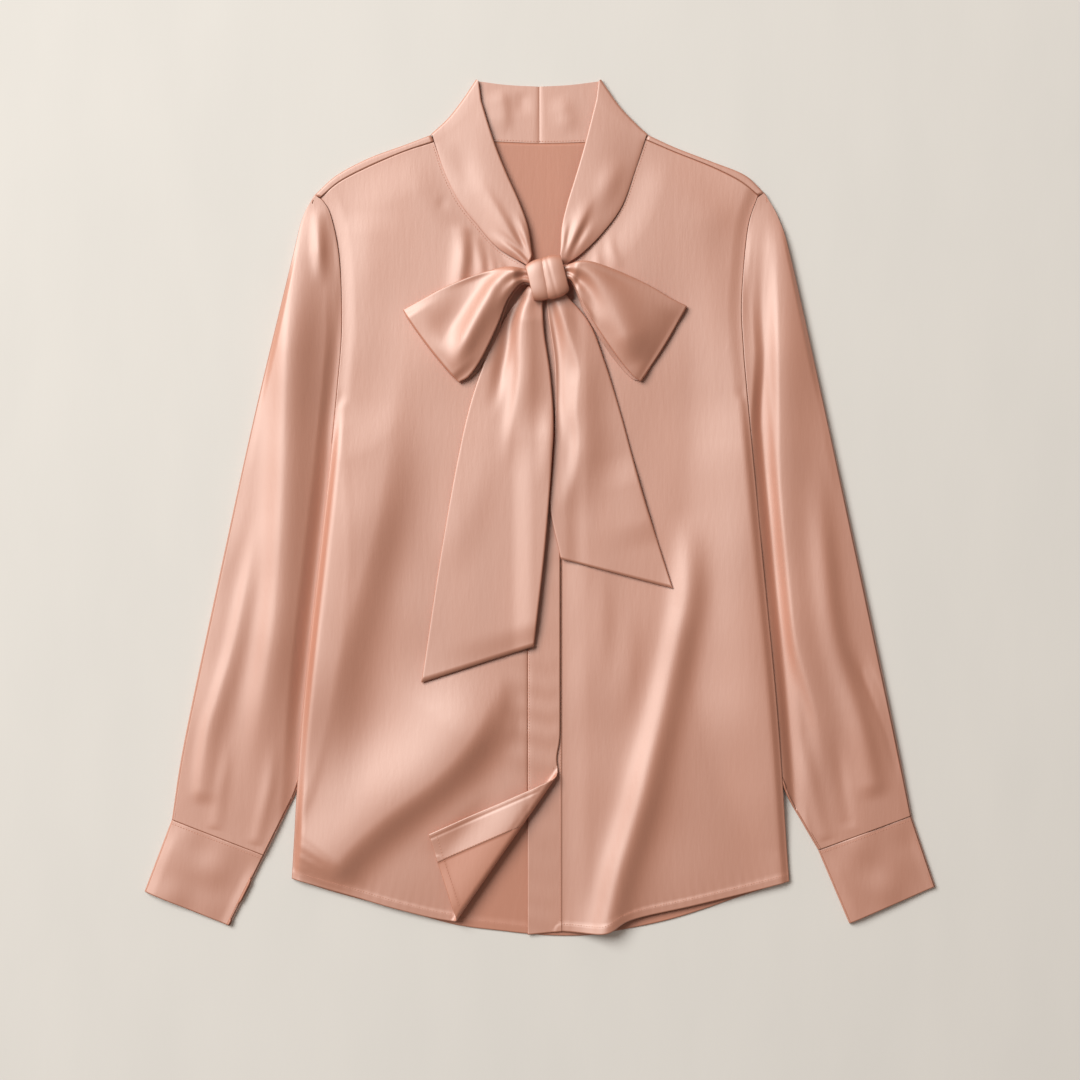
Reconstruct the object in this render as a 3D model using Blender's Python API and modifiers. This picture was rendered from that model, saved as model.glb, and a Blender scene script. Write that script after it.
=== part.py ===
"""Long-sleeved satin blouse with a tie collar, laid flat on its back, front side up.

Lengths in the tables are millimetres: +X to the wearer's left, +Y to the collar, +Z up from the
surface that the blouse lies on. The origin is the middle of the footprint. Each piece that a maker
would cut is one sheet with a wall; right and left are the wearer's.
"""
import math
from collections import namedtuple

import bmesh
import bpy
import numpy as np

MM = 0.001

# Cloth
CLOTH = 1.0                 # wall of a single layer
DOUBLE = 1.4                # wall of a faced or doubled layer
SEAM_GAP = 0.3              # space between two pieces at a seam
LAYER_GAP = 0.4             # space between two layers that lie on each other

# Steps along the seams; pieces that meet there share them
ARMHOLE_STEPS = 9
SIDE_STEPS = 21
UNDERARM_STEPS = 2          # steps of the side seam before the sleeve slips under the body
NECK_STEPS = 6
SHOULDER_STEPS = 8
PANEL_STEPS = 16
BACK_NECK_STEPS = 12
SLEEVE_STEPS = 29
SLEEVE_ACROSS = 8
CUFF_STEPS = 3
BAND_STEPS = 2
COLLAR_ACROSS = 6
LOOP_ACROSS = 8
TAIL_ACROSS = 6
TAIL_STEPS = 14
CENTRE_STEPS = ARMHOLE_STEPS + SIDE_STEPS - NECK_STEPS
SEWN_STEPS = ARMHOLE_STEPS + UNDERARM_STEPS
FLAT_ANGLE = math.radians(0.1)

# Heights of the layers
COVER = 2.6                 # underside of the front at the armholes and shoulders
BODY_RISE = 1.6             # how much further the middle of a front stands up
SHOULDER_RADIUS = 1.8       # outer radius of the back where it wraps over the shoulder
TUCK = 2.9                  # lift of the body where it lies on the sleeve's inner strip
TUCK_MARGIN = 8.0           # how far past the strip the lift is full
TUCK_SLOPE = 22.0           # distance over which it then dies away
UNDERARM_EASE = 32.0        # distance below the underarm over which the sleeve slips under
SIDE_SOFT = 15.0            # distance from the side seam to the full height of the front
BAND_DIP = 1.8              # how much lower the left front runs below the closure
SLEEVE_FLAT = 2.5           # height of the sleeve where the body lies on it
TUCK_NEAR = 21.0            # distance outside the side seam where the sleeve starts to flatten
TUCK_EASE = 13.0            # distance over which it gets flat
SLEEVE_EDGE = 3.6           # height of the sleeve just inside its outer fold
TUBE_EDGE = 2.0             # how far inside its folds a sleeve or cuff is at full height
SLEEVE_BULGE = 3.4          # fullness of a sleeve between its folds
CUFF_EASE = 0.16            # share of the sleeve's length that is drawn in above the cuff
CUFF_HEIGHT = 5.0           # height of a cuff in its middle
CUFF_EDGE = 3.8             # and just inside its folds

# Closure
CLOSURE_INNER = -11.0       # seam between the right front and its band
CLOSURE_OUTER = 18.0        # free edge of the right band
LEFT_BAND_SEAM = 20.0       # seam between the left band and the left front
BAND_TOP = 214.0
LEFT_BAND_END = -384.0
RIGHT_HEM_END = -374.5

# Turned-back corner of the right front
TURN_POINT = (-1.5, -256.0) # a point of the line where the cloth leaves the surface
TURN_ANGLE = math.radians(235.3)
TURN_RADIUS = 5.0
TURN_REST = 4.4             # height of the turned face over the panel at its corner
TURN_SETTLE = 46.0          # distance from the roll to where the corner lies flat
TURN_SPAN = 0.88            # share of the corner's width that it covers, as it is drawn in a little
TURN_CUTS = 4

# Colours of the satin, linear
BODY_COLOR = (0.66, 0.37, 0.29)
FACED_COLOR = (0.68, 0.39, 0.30)
TIE_COLOR = (0.67, 0.38, 0.29)

UPWARDS = np.array([0.0, 1.0])

# Seam lines, as points of smooth curves
SHOULDER_SEAM = {
    "right": [(-95.5, 328.5), (-121.5, 320), (-154, 306), (-180, 292.5), (-197, 278.5)],
    "left": [(95.0, 330.5), (122, 319), (154.5, 306), (180, 293), (196, 280.5)],
}
SHOULDER_FOLD = {
    "right": [(-98, 335), (-121.5, 326), (-154, 314), (-183, 298.5), (-202.5, 281)],
    "left": [(97, 335), (122, 323.5), (154.5, 311), (184, 299), (201.5, 283)],
}
ARMHOLE = {
    "right": [(-197, 278.5), (-188, 263), (-180, 223), (-178, 160), (-182.5, 100.5)],
    "left": [(196, 280.5), (186.5, 250), (181, 187), (182.5, 142), (185.5, 104)],
}
SIDE = {
    "right": [(-182.5, 100.5), (-190, 25), (-198, -47), (-213.5, -191), (-223, -333.5)],
    "left": [(185.5, 104), (190, 54.5), (199.5, -47), (212.5, -181.5), (224, -336)],
}
NECKLINE = {
    "right": [(-95.5, 328.5), (-86, 300), (-73, 274), (-57, 253.5), (-38, 232.5), (-11, 216)],
    "left": [(95, 330.5), (86, 303), (73.5, 269.5), (55.5, 245), (36, 226), (20, 216)],
}
FRONT_HEM = {
    "right": [(-223, -333.5), (-175.5, -347), (-126, -361.5), (-76.5, -372), (-11, -374.5)],
    "left": [(224, -336), (190, -345), (134, -358.5), (81, -370.5), (58, -382), (20, -381)],
}
BACK_HEM = [(-223, -333.5), (-184.5, -346), (-126, -361.5), (-76.5, -375), (-36, -380.5), (4.5, -384.5),
            (45, -384.5), (72, -380), (112.5, -371.5), (146, -361.5), (182, -349), (224, -336)]
BACK_NECK = [(-97, 335), (-70, 331), (-41, 329), (0, 327.5), (41, 328.5), (70, 331), (96, 335)]
SLEEVE_OUTER = {
    "right": [(-205, 277), (-214, 259), (-223, 223), (-257.5, 79), (-289, -65), (-319.5, -209),
              (-331, -280.5)],
    "left": [(204, 279), (215, 259), (226, 223), (258.5, 79), (290, -65), (320.5, -209),
             (334, -277)],
}
SLEEVE_INNER = {
    "right": [(-187, 59), (-184, 20), (-181, -47), (-190, -140),
              (-206, -215), (-218.5, -254), (-229.5, -277), (-247.5, -313)],
    "left": [(189.5, 62), (186, 22), (183, -47), (191, -140),
             (207, -215), (219.5, -254), (236, -284), (250, -308)],
}
CUFF_CORNERS = {            # outer top, inner top, inner bottom, outer bottom
    "right": [(-331, -280.5), (-247.5, -313), (-279, -376), (-355.5, -345)],
    "left": [(334, -277), (250, -308), (278, -374), (355.5, -340.5)],
}

# Folds: a soft ridge (or trough, where height is negative) along a path of points. left and right are
# its widths on the two sides of the path, seen along it.
Fold = namedtuple("Fold", "path height left right")
FRONT_FOLDS = {
    "right": [
        Fold([(-128, 150), (-126, 60), (-150, -40), (-178, -130), (-190, -250)], 4.2, 26, 13),
        Fold([(-30, -165), (-74, -212), (-132, -262), (-176, -322)], 5.6, 15, 24),
        Fold([(-166, 245), (-163, 200), (-166, 140)], 2.4, 10, 8),
        Fold([(-70, 235), (-84, 190), (-100, 120)], 2.0, 14, 14),
        Fold([(-34, 208), (-60, 170), (-80, 90)], 2.0, 9, 11),
    ],
    "left": [
        Fold([(136, 30), (118, -70), (94, -170), (64, -270), (42, -372)], 5.6, 26, 17),
        Fold([(162, -60), (150, -150), (120, -250), (92, -330)], -1.5, 16, 20),
        Fold([(196, -90), (188, -190), (176, -300)], 2.8, 20, 18),
        Fold([(166, 255), (162, 200), (160, 120)], 2.4, 8, 12),
        Fold([(150, 240), (146, 160), (150, 60)], 1.8, 14, 14),
        Fold([(64, -80), (68, -140)], 1.6, 10, 8),
    ],
}
SLEEVE_FOLDS = {
    "right": [
        Fold([(-201, 268), (-199, 200), (-205, 120), (-214, 10), (-228, -130)], 3.6, 10, 12),
        Fold([(-236, 130), (-247, 0), (-262, -120), (-280, -220)], 3.6, 12, 18),
        Fold([(-256, -60), (-276, -150), (-305, -240), (-326, -285)], 3.0, 7, 14),
        Fold([(-256, -220), (-272, -290)], 2.0, 9, 9),
    ],
    "left": [
        Fold([(204, 262), (210, 200), (208, 110), (212, -20), (226, -140)], 3.6, 12, 10),
        Fold([(238, 150), (246, 40), (254, -70), (262, -180), (272, -280)], 3.0, 14, 14),
        Fold([(274, -95), (290, -150), (316, -230), (328, -280)], 3.0, 14, 7),
        Fold([(236, -230), (258, -290)], 2.0, 9, 9),
    ],
}

# Collar bands on the front, a row at each step of the neckline: free_x, free_y is the point of the
# upper edge; heights are of the outer face at both edges; crown arches it and wave pleats it
Band = namedtuple("Band", "free_x free_y seam_height free_height crown wave")
COLLAR_BANDS = {
    "right": [
        Band(-53.5, 368, 5.0, 5.6, 0.4, 0.0),
        Band(-47, 346, 4.4, 7.5, 0.8, 0.0),
        Band(-39, 322, 4.4, 8.5, 1.2, 0.2),
        Band(-29.5, 298.5, 4.6, 9.0, 1.4, 0.4),
        Band(-19, 275, 5.4, 9.4, 1.2, 0.6),
        Band(-11, 252, 7.0, 9.0, 0.8, 0.6),
        Band(-7, 226, 8.2, 8.4, 0.0, 0.0),
    ],
    "left": [
        Band(51, 369, 5.0, 5.6, 0.4, 0.0),
        Band(45.5, 347, 4.4, 7.5, 0.8, 0.0),
        Band(39, 322, 4.4, 8.5, 1.2, 0.2),
        Band(31.5, 296.5, 4.6, 9.0, 1.4, 0.4),
        Band(24, 272, 5.4, 9.4, 1.2, 0.6),
        Band(19, 250, 7.0, 9.0, 0.8, 0.6),
        Band(18, 228, 8.2, 8.4, 0.0, 0.0),
    ],
}
COLLAR_PLEATS = 1.5         # waves across a collar band near the knot
COLLAR_FOLD = {             # silhouette where each collar half turns from the back to the front
    "right": [(-98, 335.5), (-83, 349.5), (-70, 366), (-57.5, 384.7)],
    "left": [(97, 335.5), (88, 343.5), (71.5, 361), (55, 384.7)],
}
COLLAR_RADIUS = 2.6         # outer radius of that turn
COLLAR_CENTRE_X = -0.5
COLLAR_TOP = 378.5
COLLAR_MIDDLE = {"right": (-29.5, 380.0), "left": (27.0, 380.0)}

# Bow loops, a row from the knot outwards: the ribbon's upper and lower edges in plan, the height of
# its outer layer, how far its under layer stands over the front, the arch and how it is gathered
Loop = namedtuple("Loop", "upper_x upper_y lower_x lower_y top base crown gather")
LOOPS = {
    "right": [
        Loop(-2, 209, -5, 199, 19.5, 8.2, 0.0, 0.6),
        Loop(-14, 213, -17, 200, 19.5, 8.0, 0.5, 0.8),
        Loop(-32, 214.5, -29, 186, 18.8, 5.4, 2.0, 0.8),
        Loop(-56, 208.5, -39, 161, 17.0, 3.0, 3.0, 0.5),
        Loop(-85.5, 197, -52, 134, 15.0, 1.4, 3.0, 0.25),
        Loop(-108, 185, -63, 118, 13.0, 0.8, 2.0, 0.1),
        Loop(-122, 177.5, -71.5, 112.5, 11.0, 0.7, 1.0, 0.0),
    ],
    "left": [
        Loop(15, 212, 18, 202, 19.5, 8.2, 0.0, 0.6),
        Loop(26, 217, 28, 202, 19.5, 8.0, 0.5, 0.8),
        Loop(43, 219.5, 40, 178, 18.8, 5.6, 2.0, 0.8),
        Loop(68, 212, 56, 153, 17.0, 3.8, 3.0, 0.5),
        Loop(96, 199.5, 71, 132, 15.0, 1.6, 3.0, 0.25),
        Loop(118, 187, 83, 118, 13.0, 0.8, 2.0, 0.1),
        Loop(130.5, 181, 89, 113.5, 11.0, 0.7, 1.0, 0.0),
    ],
}
LOOP_PLEATS = 1.5           # waves across a loop near the knot
LOOP_WAVE = 1.4             # and their height
LOOP_END_BOW = 1.5          # how far the end of a loop bows outwards

# Tails, a row from the knot down: the ribbon's left and right edges as seen, how it is gathered and
# how far it stands up towards the knot
Tail = namedtuple("Tail", "left_x left_y right_x right_y gather rise")
TAILS = {
    "right": [
        Tail(-10, 199, 2, 188, 0.6, 0.9),
        Tail(-30.5, 172, 3.5, 158, 0.9, 0.0),
        Tail(-47, 138, 9.0, 120, 0.6, 0.0),
        Tail(-63, 92, 12.0, 78, 0.35, 0.0),
        Tail(-75.5, 36, 10.5, 40, 0.15, 0.0),
        Tail(-90, -47, 4.5, -36, 0.05, 0.0),
        Tail(-106.5, -157, -5.5, -124.5, 0.0, 0.0),
    ],
    "left": [
        Tail(4.5, 193, 20, 194, 0.6, 0.85),
        Tail(8, 165, 44, 166, 0.9, 0.0),
        Tail(13, 130, 58, 131, 0.7, 0.0),
        Tail(13.5, 85, 72, 86, 0.5, 0.0),
        Tail(11, 40, 84.5, 40, 0.3, 0.0),
        Tail(9, 0, 96, 0, 0.15, 0.0),
        Tail(18.5, -46, 119, -72.5, 0.0, 0.0),
    ],
}
TAIL_REST = 2.6             # outer face of a tail over the front that it lies on
TAIL_OVERLAP = 2.4          # further height of the right tail where it lies on the left one
TAIL_WAVE = 0.8             # height of the waves across a tail
TAIL_PLEATS = 1.5

# Knot: two wraps of the tie around the gathered ribbons, as a short tube along its axis
KNOT_CENTRE = (6.5, 204.5)
KNOT_ANGLE = math.radians(14.0)
KNOT_LENGTH = 33.0
KNOT_WIDTH = 37.0
KNOT_BASE = 9.0
KNOT_HEIGHT = 16.0
KNOT_PINCH = 0.14
KNOT_AROUND = 20
KNOT_ALONG = 8
KNOT_WRAP_RISE = 1.2


# ---------------------------------------------------------------- curves and fields

def soft(value):
    """Smooth step from 0 to 1."""
    clipped = np.clip(value, 0.0, 1.0)
    return clipped * clipped * (3.0 - 2.0 * clipped)


def curve(points, steps, fineness=12):
    """Smooth curve through the rows of points, as steps + 1 evenly spaced rows."""
    rows = np.asarray(points, float)
    ends = np.vstack([2 * rows[0] - rows[1], rows, 2 * rows[-1] - rows[-2]])
    t = np.linspace(0.0, 1.0, fineness, endpoint=False)[:, None]
    runs = []
    for before, start, end, after in zip(ends, ends[1:], ends[2:], ends[3:]):
        cubic = (3 * start - before - 3 * end + after) * t ** 3
        square = (2 * before - 5 * start + 4 * end - after) * t ** 2
        runs.append(0.5 * (2 * start + (end - before) * t + square + cubic))
    dense = np.vstack(runs + [rows[-1:]])
    return spaced(dense, steps)


def spaced(rows, steps):
    """The same line with steps + 1 rows at equal distances in plan."""
    travel = np.concatenate([[0.0], np.cumsum(np.linalg.norm(np.diff(rows[:, :2], axis=0), axis=1))])
    stops = np.linspace(0.0, travel[-1], steps + 1)
    return np.column_stack([np.interp(stops, travel, column) for column in rows.T])


def chain(*curves):
    """One boundary from curves that meet end to end."""
    return np.vstack([curves[0]] + [part[1:] for part in curves[1:]])


def patch(top, bottom, start, end):
    """Grid of plan points between four boundaries; rows run from top to bottom."""
    rows, columns = len(start), len(top)
    v = np.linspace(0.0, 1.0, rows)[:, None, None]
    u = np.linspace(0.0, 1.0, columns)[None, :, None]
    across = (1 - v) * top[None] + v * bottom[None]
    down = (1 - u) * start[:, None] + u * end[:, None]
    corners = (1 - v) * ((1 - u) * top[0] + u * top[-1]) + v * ((1 - u) * bottom[0] + u * bottom[-1])
    return across + down - corners


def normals_towards(line, reference):
    """Unit vectors across a line in plan, on the side where the reference vectors point."""
    run = np.gradient(line, axis=0)
    across = np.column_stack([-run[:, 1], run[:, 0]])
    across /= np.linalg.norm(across, axis=1, keepdims=True)
    return across * np.sign(np.sum(across * reference, axis=1, keepdims=True))


def along_path(points, x, y, samples=40):
    """Signed distance from a path, positive to its left, and how far along it (0 to 1)."""
    path = curve(points, samples)
    best = np.full(np.shape(x), np.inf)
    signed = np.zeros(np.shape(x))
    share = np.zeros(np.shape(x))
    for index in range(samples):
        a = path[index]
        run = path[index + 1] - a
        squared = run @ run
        t = np.clip(((x - a[0]) * run[0] + (y - a[1]) * run[1]) / squared, 0.0, 1.0)
        dx = x - a[0] - t * run[0]
        dy = y - a[1] - t * run[1]
        distance = np.hypot(dx, dy)
        nearer = distance < best
        best = np.where(nearer, distance, best)
        side = np.sign(run[0] * dy - run[1] * dx)
        signed = np.where(nearer, side * distance, signed)
        share = np.where(nearer, (index + t) / samples, share)
    return signed, share


def fold_field(folds, x, y):
    """Sum of all folds at the plan points."""
    height = np.zeros(np.shape(x))
    for fold in folds:
        distance, share = along_path(fold.path, x, y)
        width = np.where(distance > 0, fold.left, fold.right)
        ends = np.sin(math.pi * np.clip(share, 0.0, 1.0)) ** 0.7
        height += fold.height * ends * np.exp(-(distance / width) ** 2)
    return height


def away_from(points, x, y, reach):
    """0 on a line, 1 at the given distance from it."""
    distance, _ = along_path(points, x, y)
    return soft(np.abs(distance) / reach)


def sign_of(side):
    return -1.0 if side == "right" else 1.0


def x_on(points, y, steps=40):
    """X of a line that runs down the garment, at the heights y."""
    line = curve(points, steps)[::-1]
    return np.interp(y, line[:, 1], line[:, 0])


# ---------------------------------------------------------------- heights

def tuck_lift(side, x, y):
    """How far the sleeve's inner strip lifts the body that lies on it."""
    inside = sign_of(side) * (x_on(SLEEVE_INNER[side], y) - x)
    underarm = SIDE[side][0][1]
    past = (inside - TUCK_MARGIN) / TUCK_SLOPE
    return TUCK * (1.0 - soft(past)) * soft((underarm - y) / UNDERARM_EASE)


def back_underside(x, y):
    return np.where(x < 0.0, tuck_lift("right", x, y), tuck_lift("left", x, y))


def front_underside(side, x, y):
    """Underside of a front and its band: over the back, soft at the seams, with the folds."""
    off_side = away_from(SIDE[side], x, y, SIDE_SOFT)
    off_armhole = away_from(ARMHOLE[side], x, y, 40.0)
    off_shoulder = away_from(SHOULDER_SEAM[side], x, y, 40.0)
    off_neck = np.maximum(away_from(NECKLINE[side], x, y, 30.0), at_closure(x))
    free = off_side * off_armhole * off_shoulder * off_neck
    rest = CLOTH + SEAM_GAP
    crown = (COVER - rest) * off_side + BODY_RISE * free
    folds = fold_field(FRONT_FOLDS[side], x, y) * free * (1.0 - at_closure(x))
    if side == "left":
        crown = crown - BAND_DIP * at_closure(x)
    return tuck_lift(side, x, y) + rest + np.maximum(crown + folds, 0.0)


def at_closure(x):
    """1 on the two overlapping front bands, falling to 0 beside them."""
    middle = (CLOSURE_INNER + CLOSURE_OUTER) / 2.0
    half = (CLOSURE_OUTER - CLOSURE_INNER) / 2.0
    return 1.0 - soft((np.abs(x - middle) - half - 2.0) / 24.0)


def sleeve_top(side, x, y, u, v):
    """Outer face of the sleeve: flat under the body, full between its edges, with the folds."""
    past_side = sign_of(side) * (x_on(SIDE[side], y) - x)
    below = soft((SIDE[side][0][1] - y) / UNDERARM_EASE)
    tucked = soft((past_side + TUCK_NEAR) / TUCK_EASE) * below
    edge = SLEEVE_EDGE * (1.0 - tucked) + SLEEVE_FLAT * tucked
    above_cuff = soft((1.0 - v) / CUFF_EASE)
    edges = soft(u / 0.1) * soft((1.0 - u) / 0.1) * soft(v / 0.1)
    bulge = SLEEVE_BULGE * np.sin(math.pi * u) ** 0.8 * soft(v / 0.1) * (0.35 + 0.65 * above_cuff)
    folds = fold_field(SLEEVE_FOLDS[side], x, y) * edges * (0.4 + 0.6 * above_cuff)
    end = (CUFF_HEIGHT - SLEEVE_EDGE) * (1.0 - above_cuff)
    return edge + (end + np.maximum(bulge + folds, 0.0)) * (1.0 - tucked)


# ---------------------------------------------------------------- meshes

def material(name, color, roughness):
    made = bpy.data.materials.new(name)
    made.use_nodes = True
    shader = made.node_tree.nodes["Principled BSDF"]
    shader.inputs["Base Color"].default_value = (*color, 1.0)
    shader.inputs["Roughness"].default_value = roughness
    shader.inputs["Metallic"].default_value = 0.0
    return made


def grid_mesh(points, closed=False):
    """Mesh of quads on a grid of points, in metres; closed joins the last column to the first."""
    bm = bmesh.new()
    rows, columns = points.shape[:2]
    verts = [[bm.verts.new(point * MM) for point in row] for row in points]
    last = columns if closed else columns - 1
    for row in range(rows - 1):
        for column in range(last):
            following = (column + 1) % columns
            corners = (verts[row][column], verts[row + 1][column],
                       verts[row + 1][following], verts[row][following])
            bm.faces.new(corners)
    return bm


def apart(points, gap=SEAM_GAP / 2):
    """Grid with its border drawn inwards by half a seam gap."""
    moved = points.copy()
    for border, inner in ((np.s_[0], np.s_[1]), (np.s_[-1], np.s_[-2]),
                          (np.s_[:, 0], np.s_[:, 1]), (np.s_[:, -1], np.s_[:, -2])):
        run = points[inner] - points[border]
        size = np.maximum(np.linalg.norm(run, axis=-1, keepdims=True), 1e-6)
        moved[border] += run / size * gap
    return moved


def add_grid(bm, points):
    """Further grid of quads in the same mesh."""
    extra = grid_mesh(points)
    mesh = bpy.data.meshes.new("extra")
    extra.to_mesh(mesh)
    extra.free()
    bm.from_mesh(mesh)
    bpy.data.meshes.remove(mesh)


def add_piece(name, bm, wall, finish, faces_up, flat=False, known_face=0):
    """Object whose wall grows away from the modelled face; flat merges the faces of one plane."""
    bm.normal_update()
    bm.faces.ensure_lookup_table()
    if (bm.faces[known_face].normal.z > 0.0) != faces_up:
        bmesh.ops.reverse_faces(bm, faces=bm.faces)
    if flat:
        bmesh.ops.dissolve_limit(bm, angle_limit=FLAT_ANGLE, verts=bm.verts, edges=bm.edges)
    mesh = bpy.data.meshes.new(name)
    bm.to_mesh(mesh)
    bm.free()
    mesh.shade_smooth()
    mesh.materials.append(finish)
    piece = bpy.data.objects.new(name, mesh)
    bpy.data.collections["blouse"].objects.link(piece)
    thick = piece.modifiers.new("wall", "SOLIDIFY")
    thick.thickness = wall * MM
    thick.offset = -1.0
    thick.use_quality_normals = True


def add_tube(name, rings, wall, finish):
    """Flattened tube, open at both ends, whose first quarter of columns is on top."""
    bm = grid_mesh(rings, closed=True)
    add_piece(name, bm, wall, finish, faces_up=True, flat=True, known_face=rings.shape[1] // 4)


# ---------------------------------------------------------------- turned corner

def turn_axes():
    """Direction of the fold of the turned corner, and the way across it towards the corner."""
    along = np.array([math.cos(TURN_ANGLE), math.sin(TURN_ANGLE)])
    across = np.array([-along[1], along[0]])
    return along, across


def cut_for_turn(bm):
    """Edges along the roll, so that the cloth can bend there."""
    _, across = turn_axes()
    for index in range(TURN_CUTS + 1):
        reach = math.pi * TURN_RADIUS * index / TURN_CUTS
        place = np.array(TURN_POINT) + reach * across
        bmesh.ops.bisect_plane(
            bm, geom=bm.verts[:] + bm.edges[:] + bm.faces[:], dist=1e-5,
            plane_co=(place[0] * MM, place[1] * MM, 0.0), plane_no=(across[0], across[1], 0.0))


def turn_corner(bm):
    """Raise a flat sheet to the height of the right front and turn its lower corner back."""
    _, across = turn_axes()
    plan = np.array([vert.co[:2] for vert in bm.verts]) / MM
    beyond = (plan - np.array(TURN_POINT)) @ across
    roll = math.pi * TURN_RADIUS
    angle = np.clip(beyond, 0.0, roll) / TURN_RADIUS
    turned = np.maximum(beyond - roll, 0.0)
    shift = TURN_RADIUS * np.sin(angle) - np.clip(beyond, 0.0, roll) - (1.0 + TURN_SPAN) * turned
    placed = plan + shift[:, None] * across
    settle = soft(turned / TURN_SETTLE)
    above = TURN_RADIUS * (1.0 - np.cos(angle)) + (TURN_REST - 2.0 * TURN_RADIUS) * settle
    height = front_underside("right", placed[:, 0], placed[:, 1]) + above
    for vert, place, z in zip(bm.verts, placed, height):
        vert.co = (place[0] * MM, place[1] * MM, z * MM)


# ---------------------------------------------------------------- pieces

def with_height(plan, height):
    return np.concatenate([plan, height[..., None]], axis=-1)


def outer_boundary(side):
    return chain(curve(ARMHOLE[side], ARMHOLE_STEPS), curve(SIDE[side], SIDE_STEPS))


def shoulder_wrap(side, finish_row):
    """Rows that carry the back over a shoulder, from its last flat row to the seam on the front."""
    fold = curve(SHOULDER_FOLD[side], SHOULDER_STEPS)
    outwards = normals_towards(fold, UPWARDS)
    rows = [with_height(finish_row, np.zeros(len(finish_row)))]
    for angle in np.radians([45.0, 90.0, 135.0, 180.0]):
        out = SHOULDER_RADIUS * math.sin(angle)
        height = np.full(len(fold), SHOULDER_RADIUS * (1.0 - math.cos(angle)))
        rows.append(with_height(finish_row + out * outwards, height))
    seam = curve(SHOULDER_SEAM[side], SHOULDER_STEPS) + outwards * SEAM_GAP
    rows.append(with_height(seam, np.full(len(seam), 2.0 * SHOULDER_RADIUS)))
    return np.array(rows)


def build_back(finish):
    shoulders = {}
    for side in ("right", "left"):
        fold = curve(SHOULDER_FOLD[side], SHOULDER_STEPS)
        shoulders[side] = fold - SHOULDER_RADIUS * normals_towards(fold, UPWARDS)
    neck = curve(BACK_NECK, BACK_NECK_STEPS)
    neck[0], neck[-1] = shoulders["right"][0], shoulders["left"][0]
    top = chain(shoulders["right"][::-1], neck, shoulders["left"])
    hem = curve(BACK_HEM, len(top) - 1)
    start, end = outer_boundary("right"), outer_boundary("left")
    start[0], end[0] = top[0], top[-1]
    hem[0], hem[-1] = start[-1], end[-1]
    plan = patch(top, hem, start, end)
    plan[1:, 0] += (plan[1:, 1] - plan[1:, 0]) * 0.01
    plan[1:, -1] += (plan[1:, -2] - plan[1:, -1]) * 0.01
    bm = grid_mesh(with_height(plan, back_underside(plan[..., 0], plan[..., 1])))
    add_grid(bm, shoulder_wrap("right", shoulders["right"]))
    add_grid(bm, shoulder_wrap("left", shoulders["left"]))
    bmesh.ops.remove_doubles(bm, verts=bm.verts, dist=1e-6)
    bmesh.ops.recalc_face_normals(bm, faces=bm.faces)
    add_piece("back", bm, CLOTH, finish, faces_up=False, flat=True)


def front_plan(side):
    shoulder = spaced(curve(SHOULDER_SEAM[side], SHOULDER_STEPS), PANEL_STEPS)
    neck = curve(NECKLINE[side], NECK_STEPS)
    hem = curve(FRONT_HEM[side], PANEL_STEPS)[::-1]
    centre = spaced(np.array([neck[-1], hem[0]]), CENTRE_STEPS)
    return patch(shoulder, hem, chain(neck, centre), outer_boundary(side))


def build_front(side, finish):
    plan = apart(front_plan(side))
    if side == "right":
        bm = grid_mesh(with_height(plan, np.zeros(plan.shape[:2])))
        cut_for_turn(bm)
        turn_corner(bm)
    else:
        bm = grid_mesh(with_height(plan, front_underside(side, plan[..., 0], plan[..., 1])))
    add_piece("front_" + side, bm, CLOTH, finish, faces_up=False)


def band_plan(inner, outer, end_inner, end_outer):
    """Plan of a front band between two upright lines."""
    start = spaced(np.array([(inner, BAND_TOP), (inner, end_inner)]), CENTRE_STEPS)
    end = spaced(np.array([(outer, BAND_TOP), (outer, end_outer)]), CENTRE_STEPS)
    share = np.linspace(0.0, 1.0, BAND_STEPS + 1)[None, :, None]
    return apart((1 - share) * start[:, None] + share * end[:, None])


def build_bands(finish):
    plan = band_plan(CLOSURE_INNER + SEAM_GAP, CLOSURE_OUTER, RIGHT_HEM_END, RIGHT_HEM_END)
    right = grid_mesh(with_height(plan, np.zeros(plan.shape[:2])))
    cut_for_turn(right)
    turn_corner(right)
    add_piece("placket_right", right, DOUBLE, finish, faces_up=False)
    outer = LEFT_BAND_SEAM - SEAM_GAP / 2
    plan = band_plan(CLOSURE_INNER, outer, LEFT_BAND_END, FRONT_HEM["left"][-1][1])
    height = front_underside("left", plan[..., 0], plan[..., 1])
    add_piece("placket_left", grid_mesh(with_height(plan, height)), DOUBLE, finish, faces_up=False)


def tube_grid(plan, top, sewn_rows=0):
    """Rings of a flattened tube: the outer fold, over the top, the inner fold, and back beneath."""
    inset = plan.copy()
    width = plan[:, -1] - plan[:, 0]
    step = np.linalg.norm(width, axis=1, keepdims=True) / (plan.shape[1] - 1)
    edge = np.minimum(TUBE_EDGE, step / 2.0)
    inset[:, 0] += edge * normals_towards(plan[:, 0], width)
    inner = edge * normals_towards(plan[:, -1], -width)
    inset[sewn_rows:, -1] += inner[sewn_rows:]
    outer_fold = with_height(plan[:, :1], top[:, :1] / 2.0)
    inner_fold = with_height(plan[:, -1:], top[:, -1:] / 2.0)
    beneath = with_height(inset, np.zeros(top.shape))[:, ::-1]
    return np.concatenate([outer_fold, with_height(inset, top), inner_fold, beneath], axis=1)


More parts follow.
